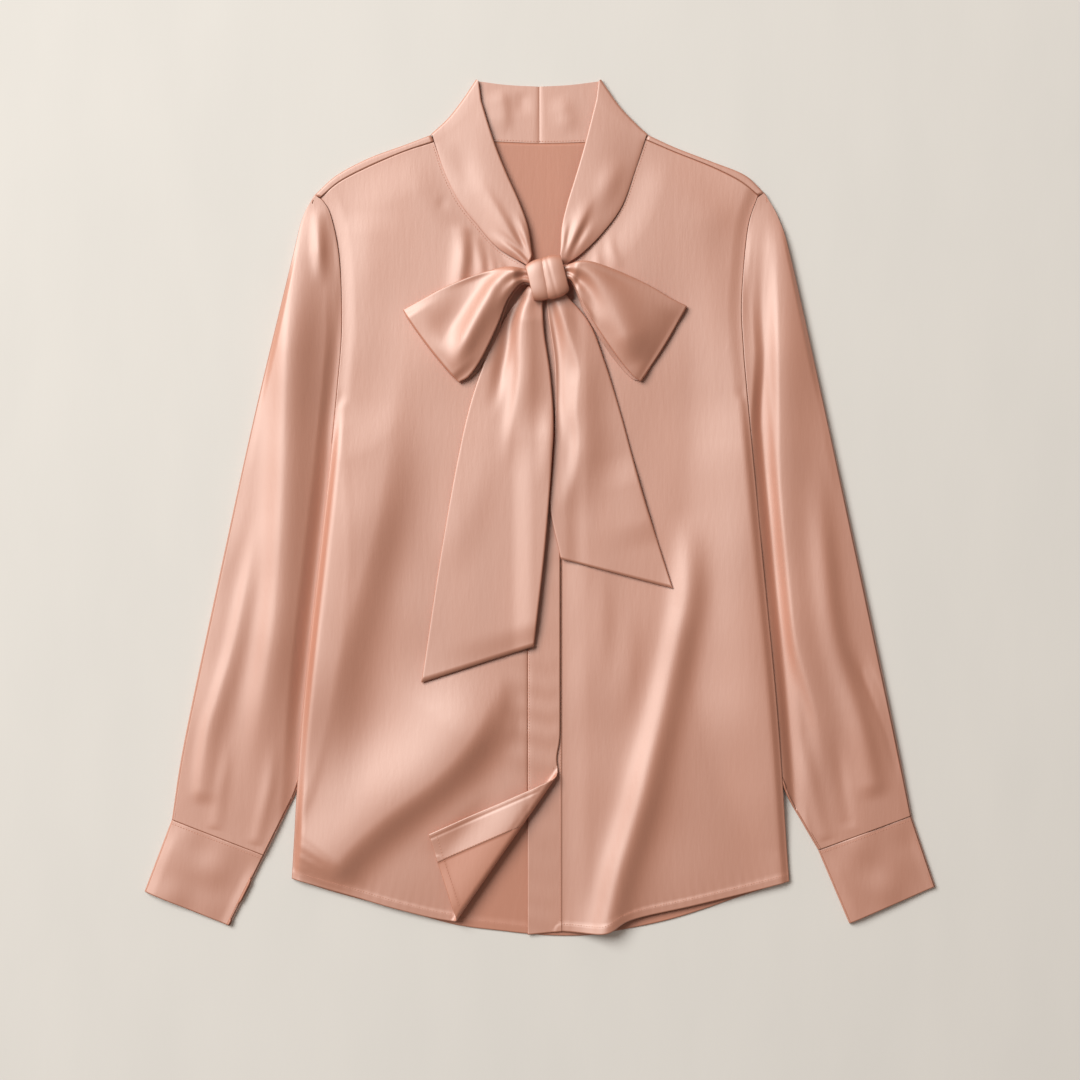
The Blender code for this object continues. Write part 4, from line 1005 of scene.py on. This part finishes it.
def back_height(x, y):
    """Underside of the back, with its hem."""
    return back_underside(x, y) + hem_height(BACK_HEM, x, y)


def rolled(line, outwards, radius, angles):
    """Rows that carry cloth round a fold, from the line on, at angles in degrees."""
    return [with_height(line + radius * math.sin(angle) * outwards, radius * (1.0 - math.cos(angle)))
            for angle in np.radians(angles)]


def shoulder_wrap(side, finish_row):
    """Rows that carry the back over a shoulder, from its last flat row to the seam on the front."""
    outwards = normals_towards(curve(SHOULDER_FOLD[side], SHOULDER_STEPS), UPWARDS)
    rows = [with_height(finish_row, 0.0)]
    rows += rolled(finish_row, outwards, SHOULDER_RADIUS, WRAP_ANGLES)
    seam = curve(SHOULDER_SEAM[side], SHOULDER_STEPS) + outwards * SEAM_GAP
    seam_row = with_height(seam, 2.0 * SHOULDER_RADIUS)
    last = rows[-1]
    rows += [(1 - share) * last + share * seam_row for share in SEAM_STOPS]
    return np.array(rows)


# ---- fronts and bands

def front_boundaries(side):
    """Top, hem, neck with closure, and armhole with side of a front, each as a dense line."""
    shoulder = curve(SHOULDER_SEAM[side], DENSE["seam"])
    neck = curve(NECKLINE[side], DENSE["seam"])
    hem = curve(FRONT_HEM[side], DENSE["hem"])[::-1]
    centre = spaced(np.array([neck[-1], hem[0]]), DENSE["hem"])
    return shoulder, hem, chain(neck, centre), outer_boundary(side)


def front_plan(side):
    """Plan of a front; its first column runs on under the collar and towards the band."""
    shoulder, hem, start, end = front_boundaries(side)
    u = stops(FRONT_WIDTH, GRID)
    v = stops(FRONT_LENGTH, GRID)
    plan = patch(placed(shoulder, u), placed(hem, u), placed(start, v), placed(end, v), u, v)
    inwards = plan[:, 0] - plan[:, 1]
    inwards /= np.linalg.norm(inwards, axis=1, keepdims=True)
    above, ease = COLLAR_EASE
    reach = SEAM_OVER + SEAM_REACH * soft(v / COLLAR_START) * soft((plan[:, 0, 1] - BAND_TOP - above) / ease)
    return np.concatenate([(plan[:, 0] + reach[:, None] * inwards)[:, None], plan], axis=1)


def front_detail(side, x, y):
    """Hem, drift and the ripples of the seams, added to the front's own folds."""
    free = away_from(SIDE[side], x, y, DRIFT_REACH["side"])
    free = free * away_from(ARMHOLE[side], x, y, DRIFT_REACH["armhole"])
    loose = DRIFT * drift(x, y, 1.5 + sign_of(side) / 2) * free * (1.0 - at_closure(x))
    phase = 2.0 * math.pi * y / BAND_RIPPLE_PITCH + BAND_SWAY * np.sin(y / BAND_SWAY_LENGTH) + x / BAND_SLANT
    wave = np.sin(phase) * (0.6 + 0.4 * np.sin(y / BAND_FADE_LENGTH + 1.0))
    ripple = BAND_RIPPLE * wave * at_closure(x) * soft((CLOSURE_OUTER - x) / BAND_EDGE_SOFT)
    seam = SEAM_DIP * np.exp(-np.abs(x - CLOSURE_INNER) / SEAM_DIP_WIDTH) if side == "right" else 0.0
    return loose + ripple - seam + hem_height(FRONT_HEM[side], x, y)


def front_surface(side, x, y):
    return front_underside(side, x, y) + front_detail(side, x, y)


def sheet_on_back(side, plan):
    """Mesh of a front or its band in its place; the right one has its corner turned back."""
    if side == "left":
        return grid_mesh(with_height(plan, front_surface(side, plan[..., 0], plan[..., 1])))
    bm = grid_mesh(with_height(plan, 0.0))
    _, across = turn_axes()
    for index in range(TURN_CUTS + 1):
        reach = math.pi * TURN_RADIUS * index / TURN_CUTS
        place = np.array(TURN_POINT) + reach * across
        bmesh.ops.bisect_plane(
            bm, geom=bm.verts[:] + bm.edges[:] + bm.faces[:], dist=1e-5,
            plane_co=(place[0] * MM, place[1] * MM, 0.0), plane_no=(across[0], across[1], 0.0))
    flat = np.array([vert.co[:2] for vert in bm.verts]) / MM
    for vert, point in zip(bm.verts, turned(flat)):
        vert.co = point * MM
    return bm


def build_front(side):
    bm = sheet_on_back(side, front_plan(side))
    piece = add_piece("front_" + side, bm, WALL, ("inside", "satin"), False)


def band_plan(inner, outer, end_inner, end_outer):
    """Plan of a front band between two upright lines."""
    v = stops(BAND_LENGTH, GRID)
    start = straight((inner, BAND_TOP), (inner, end_inner), v)
    end = straight((outer, BAND_TOP), (outer, end_outer), v)
    share = stops(abs(outer - inner), GRID)[None, :, None]
    return (1 - share) * start[:, None] + share * end[:, None]


def build_bands():
    plan = band_plan(CLOSURE_INNER + 3.0 * SEAM_OVER, CLOSURE_OUTER, RIGHT_HEM_END, RIGHT_HEM_END)
    piece = add_piece("placket_right", sheet_on_back("right", plan), WALL, ("satin", "satin"), False)
    plan = band_plan(CLOSURE_INNER, LEFT_BAND_SEAM - SEAM_GAP / 2, LEFT_BAND_END, FRONT_HEM["left"][-1][1])
    piece = add_piece("placket_left", sheet_on_back("left", plan), WALL, ("inside", "satin"), False)


# ---- sleeves and cuffs

def tube_grid(plan, top, edge, inner_edge, sewn_rows=0):
    """Rings of a flattened tube: round its outer fold, over the top, the inner fold and beneath.

    edge and inner_edge are the reach of the two folds at each row.
    """
    inset = plan.copy()
    width = plan[:, -1] - plan[:, 0]
    outer_way = normals_towards(plan[:, 0], -width)
    inner_way = normals_towards(plan[:, -1], width)
    inset[:, 0] -= edge * outer_way
    inset[sewn_rows:, -1] -= inner_edge[sewn_rows:] * inner_way[sewn_rows:]
    outer_fold, inner_fold = [], []
    for angle in np.radians(np.linspace(-90.0, 90.0, FOLD_ARC + 2)[1:-1]):
        out = math.cos(angle)
        rise = 0.5 * (1.0 + math.sin(angle))
        outer = inset[:, 0] + out * edge * outer_way
        inner = inset[:, -1] + out * inner_edge * inner_way
        outer_fold.append(with_height(outer, top[:, 0] * rise)[:, None])
        inner_fold.append(with_height(inner, top[:, -1] * rise)[:, None])
    beneath = with_height(inset, 0.0)[:, ::-1]
    return np.concatenate(outer_fold + [with_height(inset, top)] + inner_fold[::-1] + [beneath], axis=1)


def sleeve_plan(side):
    """Plan of a sleeve, rows across it from the shoulder to the cuff, columns from its outer fold."""
    coarse = chain(curve(ARMHOLE[side], ARMHOLE_STEPS), curve(SIDE[side], SIDE_STEPS))
    dense = outer_boundary(side)
    leave = coarse[ARMHOLE_STEPS + UNDERARM_STEPS]
    last = int(np.argmin(np.linalg.norm(dense - leave, axis=1)))
    seam = dense[:last + 1]
    seam[0] = SHOULDER_FOLD[side][-1]
    seam += SEAM_GAP * normals_towards(seam, np.array([sign_of(side), 0.0]))
    inner = curve(SLEEVE_INNER[side], DENSE["inner"])
    inner[0] = seam[-1]
    edge = chain(seam, inner)
    sewn_share = length_of(seam) / length_of(edge)
    v = stops(SLEEVE_LENGTH, SLEEVE_STEP)
    u = stops(SLEEVE_WIDTH, SLEEVE_COLUMN)
    outer = placed(curve(SLEEVE_OUTER[side], DENSE["sleeve"]), v)
    edge = placed(edge, v)
    plan = patch(straight(outer[0], edge[0], u), straight(outer[-1], edge[-1], u), outer, edge, u, v)
    plan[-1] += SEAM_GAP * normals_towards(plan[-1], plan[-2] - plan[-1])
    return plan, u, v, int(np.searchsorted(v, sewn_share))


def build_sleeve(side):
    plan, u, v, sewn_rows = sleeve_plan(side)
    x, y = plan[..., 0], plan[..., 1]
    top = sleeve_top(side, x, y, u[None, :], v[:, None])
    edges = soft(u / END_FADE)[None, :] * soft((1 - u) / END_FADE)[None, :]
    top += DRIFT * drift(x, y, 3.5 + sign_of(side) / 2) * edges * soft(v / SLEEVE_FADE)[:, None]
    width = np.linalg.norm(plan[:, -1] - plan[:, 0], axis=1, keepdims=True)
    edge = np.minimum(TUBE_EDGE, NARROW_EDGE * width) * EDGE_SHARE + EDGE_START
    leaving = soft((np.arange(len(v)) - sewn_rows + 1.0) / LEAVING_ROWS)[:, None]
    rings = tube_grid(plan, top, edge, edge * np.maximum(leaving, LEAST_EDGE), sewn_rows)
    bm = grid_mesh(rings, closed=True)
    bm.verts.ensure_lookup_table()
    first = FOLD_ARC + plan.shape[1]
    unsewn = [bm.verts[row * rings.shape[1] + first + index]
              for row in range(sewn_rows) for index in range(FOLD_ARC)]
    bmesh.ops.delete(bm, geom=unsewn, context="VERTS")
    piece = add_piece("sleeve_" + side, bm, WALL, ("satin", "inside"), True,
                      known_face=FOLD_ARC + TOP_FACE + 1)


def build_cuff(side):
    """Builds a cuff and gives the row of stitches beside its seam."""
    outer_top, inner_top, inner_end, outer_end = CUFF_CORNERS[side]
    u = stops(CUFF_WIDTH, GRID)
    v = stops(CUFF_LENGTH, GRID)
    plan = patch(straight(outer_top, inner_top, u), straight(outer_end, inner_end, u),
                 straight(outer_top, outer_end, v), straight(inner_top, inner_end, v), u, v)
    across = np.sin(math.pi * u)[None, :]
    height = CUFF_EDGE + (CUFF_HEIGHT - CUFF_EDGE) * across ** 0.5 * np.ones((len(v), 1))
    lean = CUFF_LEAN[side] * np.cos(math.pi * u) * np.minimum(np.sin(math.pi * u) * CUFF_LEAN_RISE, 1.0)
    height -= sign_of(side) * lean[None, :] * soft(v / CUFF_LEAN_EASE)[:, None]
    uneven = drift(plan[..., 0] * CUFF_DRIFT_SCALE, plan[..., 1] * CUFF_DRIFT_SCALE, 5.0 + sign_of(side))
    height += CUFF_DRIFT * uneven * across
    edge = np.full((len(v), 1), TUBE_EDGE)
    bm = grid_mesh(tube_grid(plan, height, edge, edge), closed=True)
    piece = add_piece("cuff_" + side, bm, DOUBLE_WALL, ("satin", "inside"), True,
                      known_face=FOLD_ARC + TOP_FACE)
    row = int(np.searchsorted(v * CUFF_LENGTH, CUFF_STITCH))
    return stitch_row(with_height(plan, height)[row, 1:-1])


# ---- collar

def collar_front(side):
    """Rows of the collar on the front, from the shoulder to the knot, each across the band."""
    w = ribbon_stops(COLLAR_COLUMNS)
    rows = []
    for seam, band in zip(curve(NECKLINE[side], COLLAR_ROWS), smooth_rows(COLLAR_BANDS[side], COLLAR_ROWS)):
        free_x, free_y, seam_height, free_height, crown = band
        free = np.array([free_x, free_y])
        towards = (free - seam) / np.linalg.norm(free - seam)
        start = seam + towards * 2.0 * SEAM_GAP
        width = np.linalg.norm(free - start)
        height = (1 - w) * seam_height + w * free_height + np.sin(math.pi * w) * crown
        height -= edge_drop((1 - w) * width) + SEAM_DIP * np.exp(-w * width / SEAM_DIP_WIDTH)
        rows.append(with_height(np.outer(1 - w, start) + np.outer(w, free), height))
    rows = np.array(rows)
    rows[..., 2] += fold_field(COLLAR_FOLDS[side], rows[..., 0], rows[..., 1])
    return rows


def collar_back(side, w, last):
    """Rows of the collar behind the neck, from the centre seam to its turn, whose last row is given."""
    middle = BACK_NECK_STEPS // 2
    neck = curve(BACK_NECK, BACK_NECK_STEPS)
    half = neck[middle::-1] if side == "right" else neck[middle:]
    top = curve([(COLLAR_CENTRE_X, COLLAR_TOP), COLLAR_MIDDLE[side], last], middle)
    rows = []
    for seam, free in zip(half[:-1], top[:-1]):
        plan = np.outer(1 - w, (seam[0], seam[1] + SEAM_GAP)) + np.outer(w, free)
        height = fold_field(BACK_NECK_FOLDS, plan[:, 0], plan[:, 1])
        rows.append(with_height(plan, height * soft(w / END_FADE) * soft((1 - w) / END_FADE)))
    rows[0][:, 0] = COLLAR_CENTRE_X + sign_of(side) * SEAM_GAP / 4
    beside = [(1 - t) * rows[0] + t * rows[1] for t in CENTRE_STOPS]
    for row, t in zip(beside, CENTRE_STOPS):
        row[:, 2] -= SEAM_DIP * math.exp(-3.0 * t / SEAM_DIP_WIDTH)
    return beside + rows[1:]


def build_collar(side):
    w = ribbon_stops(COLLAR_COLUMNS)
    fold = placed(curve(COLLAR_FOLD[side], DENSE["seam"]), w)
    outwards = normals_towards(fold, UPWARDS)
    inset = fold - COLLAR_RADIUS * outwards
    rows = collar_back(side, w, inset[-1])
    rows += rolled(inset, outwards, COLLAR_RADIUS, COLLAR_TURN_ANGLES)
    rows += list(collar_front(side)[1:])
    piece = add_piece("collar_" + side, grid_mesh(np.array(rows)), DOUBLE_WALL, ("satin", "satin"), False)


# ---- bow

def grown(value, grow):
    """Smooth growth from 0 to 1 that starts at a place."""
    return soft((value - grow.start) / grow.reach)


def support_top(x, y):
    """Top of the fronts and their bands, on which the bow lies."""
    closure = front_underside("right", x, y) + DOUBLE
    left = front_underside("left", x, y) + CLOTH
    past = grown(x, SUPPORT_CHANGE)
    return (1 - past) * closure + past * left


def loop_layers(side):
    """Rows of the outer and under layers of a bow loop, from the knot outwards."""
    dense = smooth_rows(LOOPS[side], LOOP_ROWS)
    w = ribbon_stops(LOOP_COLUMNS)
    arch = np.sin(math.pi * w)
    upper, under = [], []
    for share, row in zip(np.linspace(0.0, 1.0, len(dense)), dense):
        upper_x, upper_y, lower_x, lower_y, top, base, crown, gather = row
        x = (1 - w) * upper_x + w * lower_x
        y = (1 - w) * upper_y + w * lower_y
        wave = LOOP_WAVE * gather * np.sin(2.0 * math.pi * LOOP_PLEATS * w) * arch
        low = support_top(x, y) + base
        high = np.maximum(low + 2.0 * DOUBLE + LAYER_GAP, top + arch * crown)
        run = np.array([lower_x - upper_x, lower_y - upper_y])
        width = np.linalg.norm(run)
        drop = edge_drop(w * width) + edge_drop((1 - w) * width)
        upper.append(np.column_stack([x, y, high + wave - drop]))
        shows = UNDER_SHOWS * math.sin(math.pi * share) * soft(2.0 * w - 1.0)
        x = x + shows * run[0] / width
        y = y + shows * run[1] / width
        under.append(np.column_stack([x, y, low + wave * UNDER_WAVE]))
    upper, under = np.array(upper), np.array(under)
    upper[..., 2] += fold_field(LOOP_FOLDS[side], upper[..., 0], upper[..., 1])
    return upper, under


def build_loop(side):
    upper, under = loop_layers(side)
    end_top, end_under = upper[-1], under[-1]
    chord = end_top[-1, :2] - end_top[0, :2]
    away = np.array([chord[1], -chord[0]]) / np.linalg.norm(chord)
    away *= np.sign(away[0]) * sign_of(side)
    bow = LOOP_END_BOW * np.sin(math.pi * ribbon_stops(LOOP_COLUMNS))
    for end in (end_top, end_under):
        end[:, :2] += bow[:, None] * away
    radius = (end_top[:, 2] - end_under[:, 2]) / 2.0
    turn = []
    for angle in np.radians(LOOP_TURN_ANGLES):
        share = (1.0 - math.cos(angle)) / 2.0
        row = (1.0 - share) * end_top + share * end_under
        row[:, :2] += (radius * LOOP_TURN * math.sin(angle))[:, None] * away
        turn.append(row)
    rows = np.array(list(upper) + turn + list(under[::-1]))
    piece = add_piece("bow_loop_" + side, grid_mesh(rows), DOUBLE_WALL, ("satin", "satin"), True)


def build_tail(side):
    w = ribbon_stops(TAIL_COLUMNS)
    rows = []
    for left_x, left_y, right_x, right_y, gather, rise in smooth_rows(TAILS[side], TAIL_ROWS):
        x = (1 - w) * left_x + w * right_x
        y = (1 - w) * left_y + w * right_y
        wave = TAIL_WAVE * (TAIL_EVEN + gather) * np.sin(math.pi * TAIL_PLEATS * w) ** 2
        over = 0.0
        if side == "right":
            over = TAIL_OVERLAP * grown(x, OVERLAP_ACROSS) * grown(y, OVERLAP_DOWN)
            over = over + TAIL_TILT * w * grown(left_y, TILT_DOWN) * grown(left_y, TILT_UP)
        width = math.hypot(right_x - left_x, right_y - left_y)
        drop = edge_drop(w * width) + edge_drop((1 - w) * width)
        rows.append(np.column_stack([x, y, support_top(x, y) + TAIL_REST + rise + over + wave - drop]))
    rows = np.array(rows)
    rows[..., 2] += fold_field(TAIL_FOLDS[side], rows[..., 0], rows[..., 1])
    piece = add_piece("tail_" + side, grid_mesh(rows), DOUBLE_WALL, ("satin", "satin"), True)


def squared(value, power):
    """A sine or cosine made squarer, with its sign."""
    return np.sign(value) * np.abs(value) ** power


def build_knot():
    axis = np.array([math.cos(KNOT_ANGLE), math.sin(KNOT_ANGLE)])
    across = np.array([-axis[1], axis[0]])
    crease = KNOT_CREASE
    rings = []
    angle = np.linspace(0.0, 2.0 * math.pi, KNOT_COLUMNS, endpoint=False)
    for s in np.linspace(0.0, 1.0, KNOT_ROWS + 1):
        pinch = 1.0 - KNOT_PINCH * (2.0 * s - 1.0) ** 2
        border = s - (KNOT_BORDER + KNOT_SWAY * np.cos(angle))
        bulge = sum(wrap.rise * np.sin(math.pi * np.clip(border / wrap.reach, 0.0, 1.0)) ** wrap.fullness
                    for wrap in KNOT_WRAPS)
        from_crease = (border - crease.place + crease.sway * np.cos(angle)) / crease.width
        wrapped = bulge - crease.depth * np.exp(-from_crease ** 2) - KNOT_SINK
        width = squared(np.cos(angle), KNOT_SIDES) * (KNOT_WIDTH / 2 * pinch + wrapped)
        rise = squared(np.sin(angle), KNOT_FLATS)
        height = KNOT_BASE + KNOT_HEIGHT / 2 + rise * (KNOT_HEIGHT / 2 * pinch + wrapped * (rise > 0))
        place = np.array(KNOT_CENTRE) + (s - 0.5) * KNOT_LENGTH * axis
        rings.append(with_height(place + width[:, None] * across, height))
    piece = add_piece("knot", grid_mesh(np.array(rings), closed=True), DOUBLE_WALL, ("satin", "satin"), True,
                      known_face=KNOT_TOP_FACE)


# ---- sewing

def over_front(side, line):
    """A plan line laid on the outer face of a front."""
    return with_height(line, front_surface(side, line[:, 0], line[:, 1]) + WALL)


def upright(x, top, end):
    """Plan line straight down the closure."""
    return np.array([(x, y) for y in np.linspace(top, end, DENSE["upright"])])


def on_turned_front(line):
    """The stretches of a plan line before the right front's turned corner and on it, in space."""
    _, across = turn_axes()
    beyond = (line - np.array(TURN_POINT)) @ across
    flat = line[beyond < -TURN_CLEAR]
    flap = line[beyond > math.pi * TURN_RADIUS + TURN_CLEAR]
    return over_front("right", flat), turned(flap)


def build_sewing(rows):
    """Rows of stitches on the hems, bands and neck seams, added to those of the cuffs."""
    inside = {}
    for side in SIDES:
        hem = curve(FRONT_HEM[side], DENSE["hem"])
        inside[side] = (hem + HEM_STITCH * normals_towards(hem, UPWARDS))[2:]
    band_seam = upright(CLOSURE_INNER + BAND_STITCH, BAND_STITCH_TOP, RIGHT_HEM_END + HEM)
    across_band = np.linspace(CLOSURE_INNER, CLOSURE_OUTER - 1, DENSE["across"])
    band_hem = np.column_stack([across_band, np.full(len(across_band), RIGHT_HEM_END + HEM_STITCH)])
    left_seam = upright(LEFT_BAND_SEAM - LEFT_BAND_STITCH, LEFT_STITCH_TOP, LEFT_STITCH_END)
    lines = [over_front("left", inside["left"]), *on_turned_front(inside["right"]),
             *on_turned_front(band_seam), turned(band_hem), over_front("left", left_seam)]
    for side in SIDES:
        neck = curve(NECKLINE[side], DENSE["neck_row"])[2:-6]
        lines.append(over_front(side, neck - NECK_STITCH * normals_towards(neck, UPWARDS)))
    back_neck = curve(BACK_NECK, BACK_NECK_STEPS)[10:-10] + np.array([0.0, BACK_NECK_STITCH])
    lines.append(with_height(back_neck, DOUBLE_WALL))
    back_hem = curve(BACK_HEM, DENSE["hem"])
    back_hem += HEM_STITCH * normals_towards(back_hem, UPWARDS)
    shown = back_hem[np.abs(back_hem[:, 0]) < BACK_STITCH_REACH]
    lines.append(with_height(shown, back_height(shown[:, 0], shown[:, 1]) + WALL))
    for line in lines:
        rows += stitch_row(line)
    add_stitches("seam_stitches", rows)


# ---- stage

def build_stage():
    bm = bmesh.new()
    bmesh.ops.create_grid(bm, x_segments=1, y_segments=1, size=FLOOR_SIZE)
    floor = linked("floor", mesh_of("floor", bm, ["floor"]))
    floor.location = (0.0, 0.0, -FLOOR_DROP)
    world = bpy.data.worlds.new("world")
    bpy.context.scene.world = world
    world.use_nodes = True
    world.node_tree.nodes["Background"].inputs["Color"].default_value = (*WORLD_COLOUR, 1.0)
    world.node_tree.nodes["Background"].inputs["Strength"].default_value = WORLD_STRENGTH
    world.cycles_visibility.glossy = False


def build_window():
    """Round lamp that points at the middle of the blouse."""
    data = bpy.data.lights.new("window", "AREA")
    data.shape = "DISK"
    data.size = WINDOW_SIZE
    data.energy = WINDOW_POWER
    data.color = WINDOW_COLOUR
    lamp = linked("window", data)
    lamp.location = WINDOW_PLACE
    lamp.rotation_euler = (-Vector(WINDOW_PLACE)).to_track_quat("-Z", "Y").to_euler()


def build_camera():
    data = bpy.data.cameras.new("camera")
    data.sensor_width = SENSOR
    data.lens = SENSOR * VIEW_DISTANCE / VIEW_WIDTH
    camera = linked("camera", data)
    camera.location = (VIEW_CENTRE[0] * MM, VIEW_CENTRE[1] * MM, VIEW_DISTANCE * MM)
    bpy.context.scene.camera = camera
    bpy.context.scene.view_settings.view_transform = "Standard"


def build_scene():
    build_stage()
    build_window()
    build_camera()
    build_back()
    build_bands()
    build_knot()
    cuff_rows = []
    for side in SIDES:
        build_front(side)
        build_sleeve(side)
        cuff_rows += build_cuff(side)
        build_collar(side)
        build_loop(side)
        build_tail(side)
    build_sewing(cuff_rows)


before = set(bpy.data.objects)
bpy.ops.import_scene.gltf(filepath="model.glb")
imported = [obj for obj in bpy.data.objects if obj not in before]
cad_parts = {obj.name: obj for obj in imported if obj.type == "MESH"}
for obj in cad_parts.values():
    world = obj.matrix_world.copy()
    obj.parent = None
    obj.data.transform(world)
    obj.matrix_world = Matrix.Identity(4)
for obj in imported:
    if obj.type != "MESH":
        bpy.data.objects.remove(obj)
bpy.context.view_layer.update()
FINISHES = {name: cloth_finish(name, finish) for name, finish in FINISH_TABLE.items()}
build_scene()
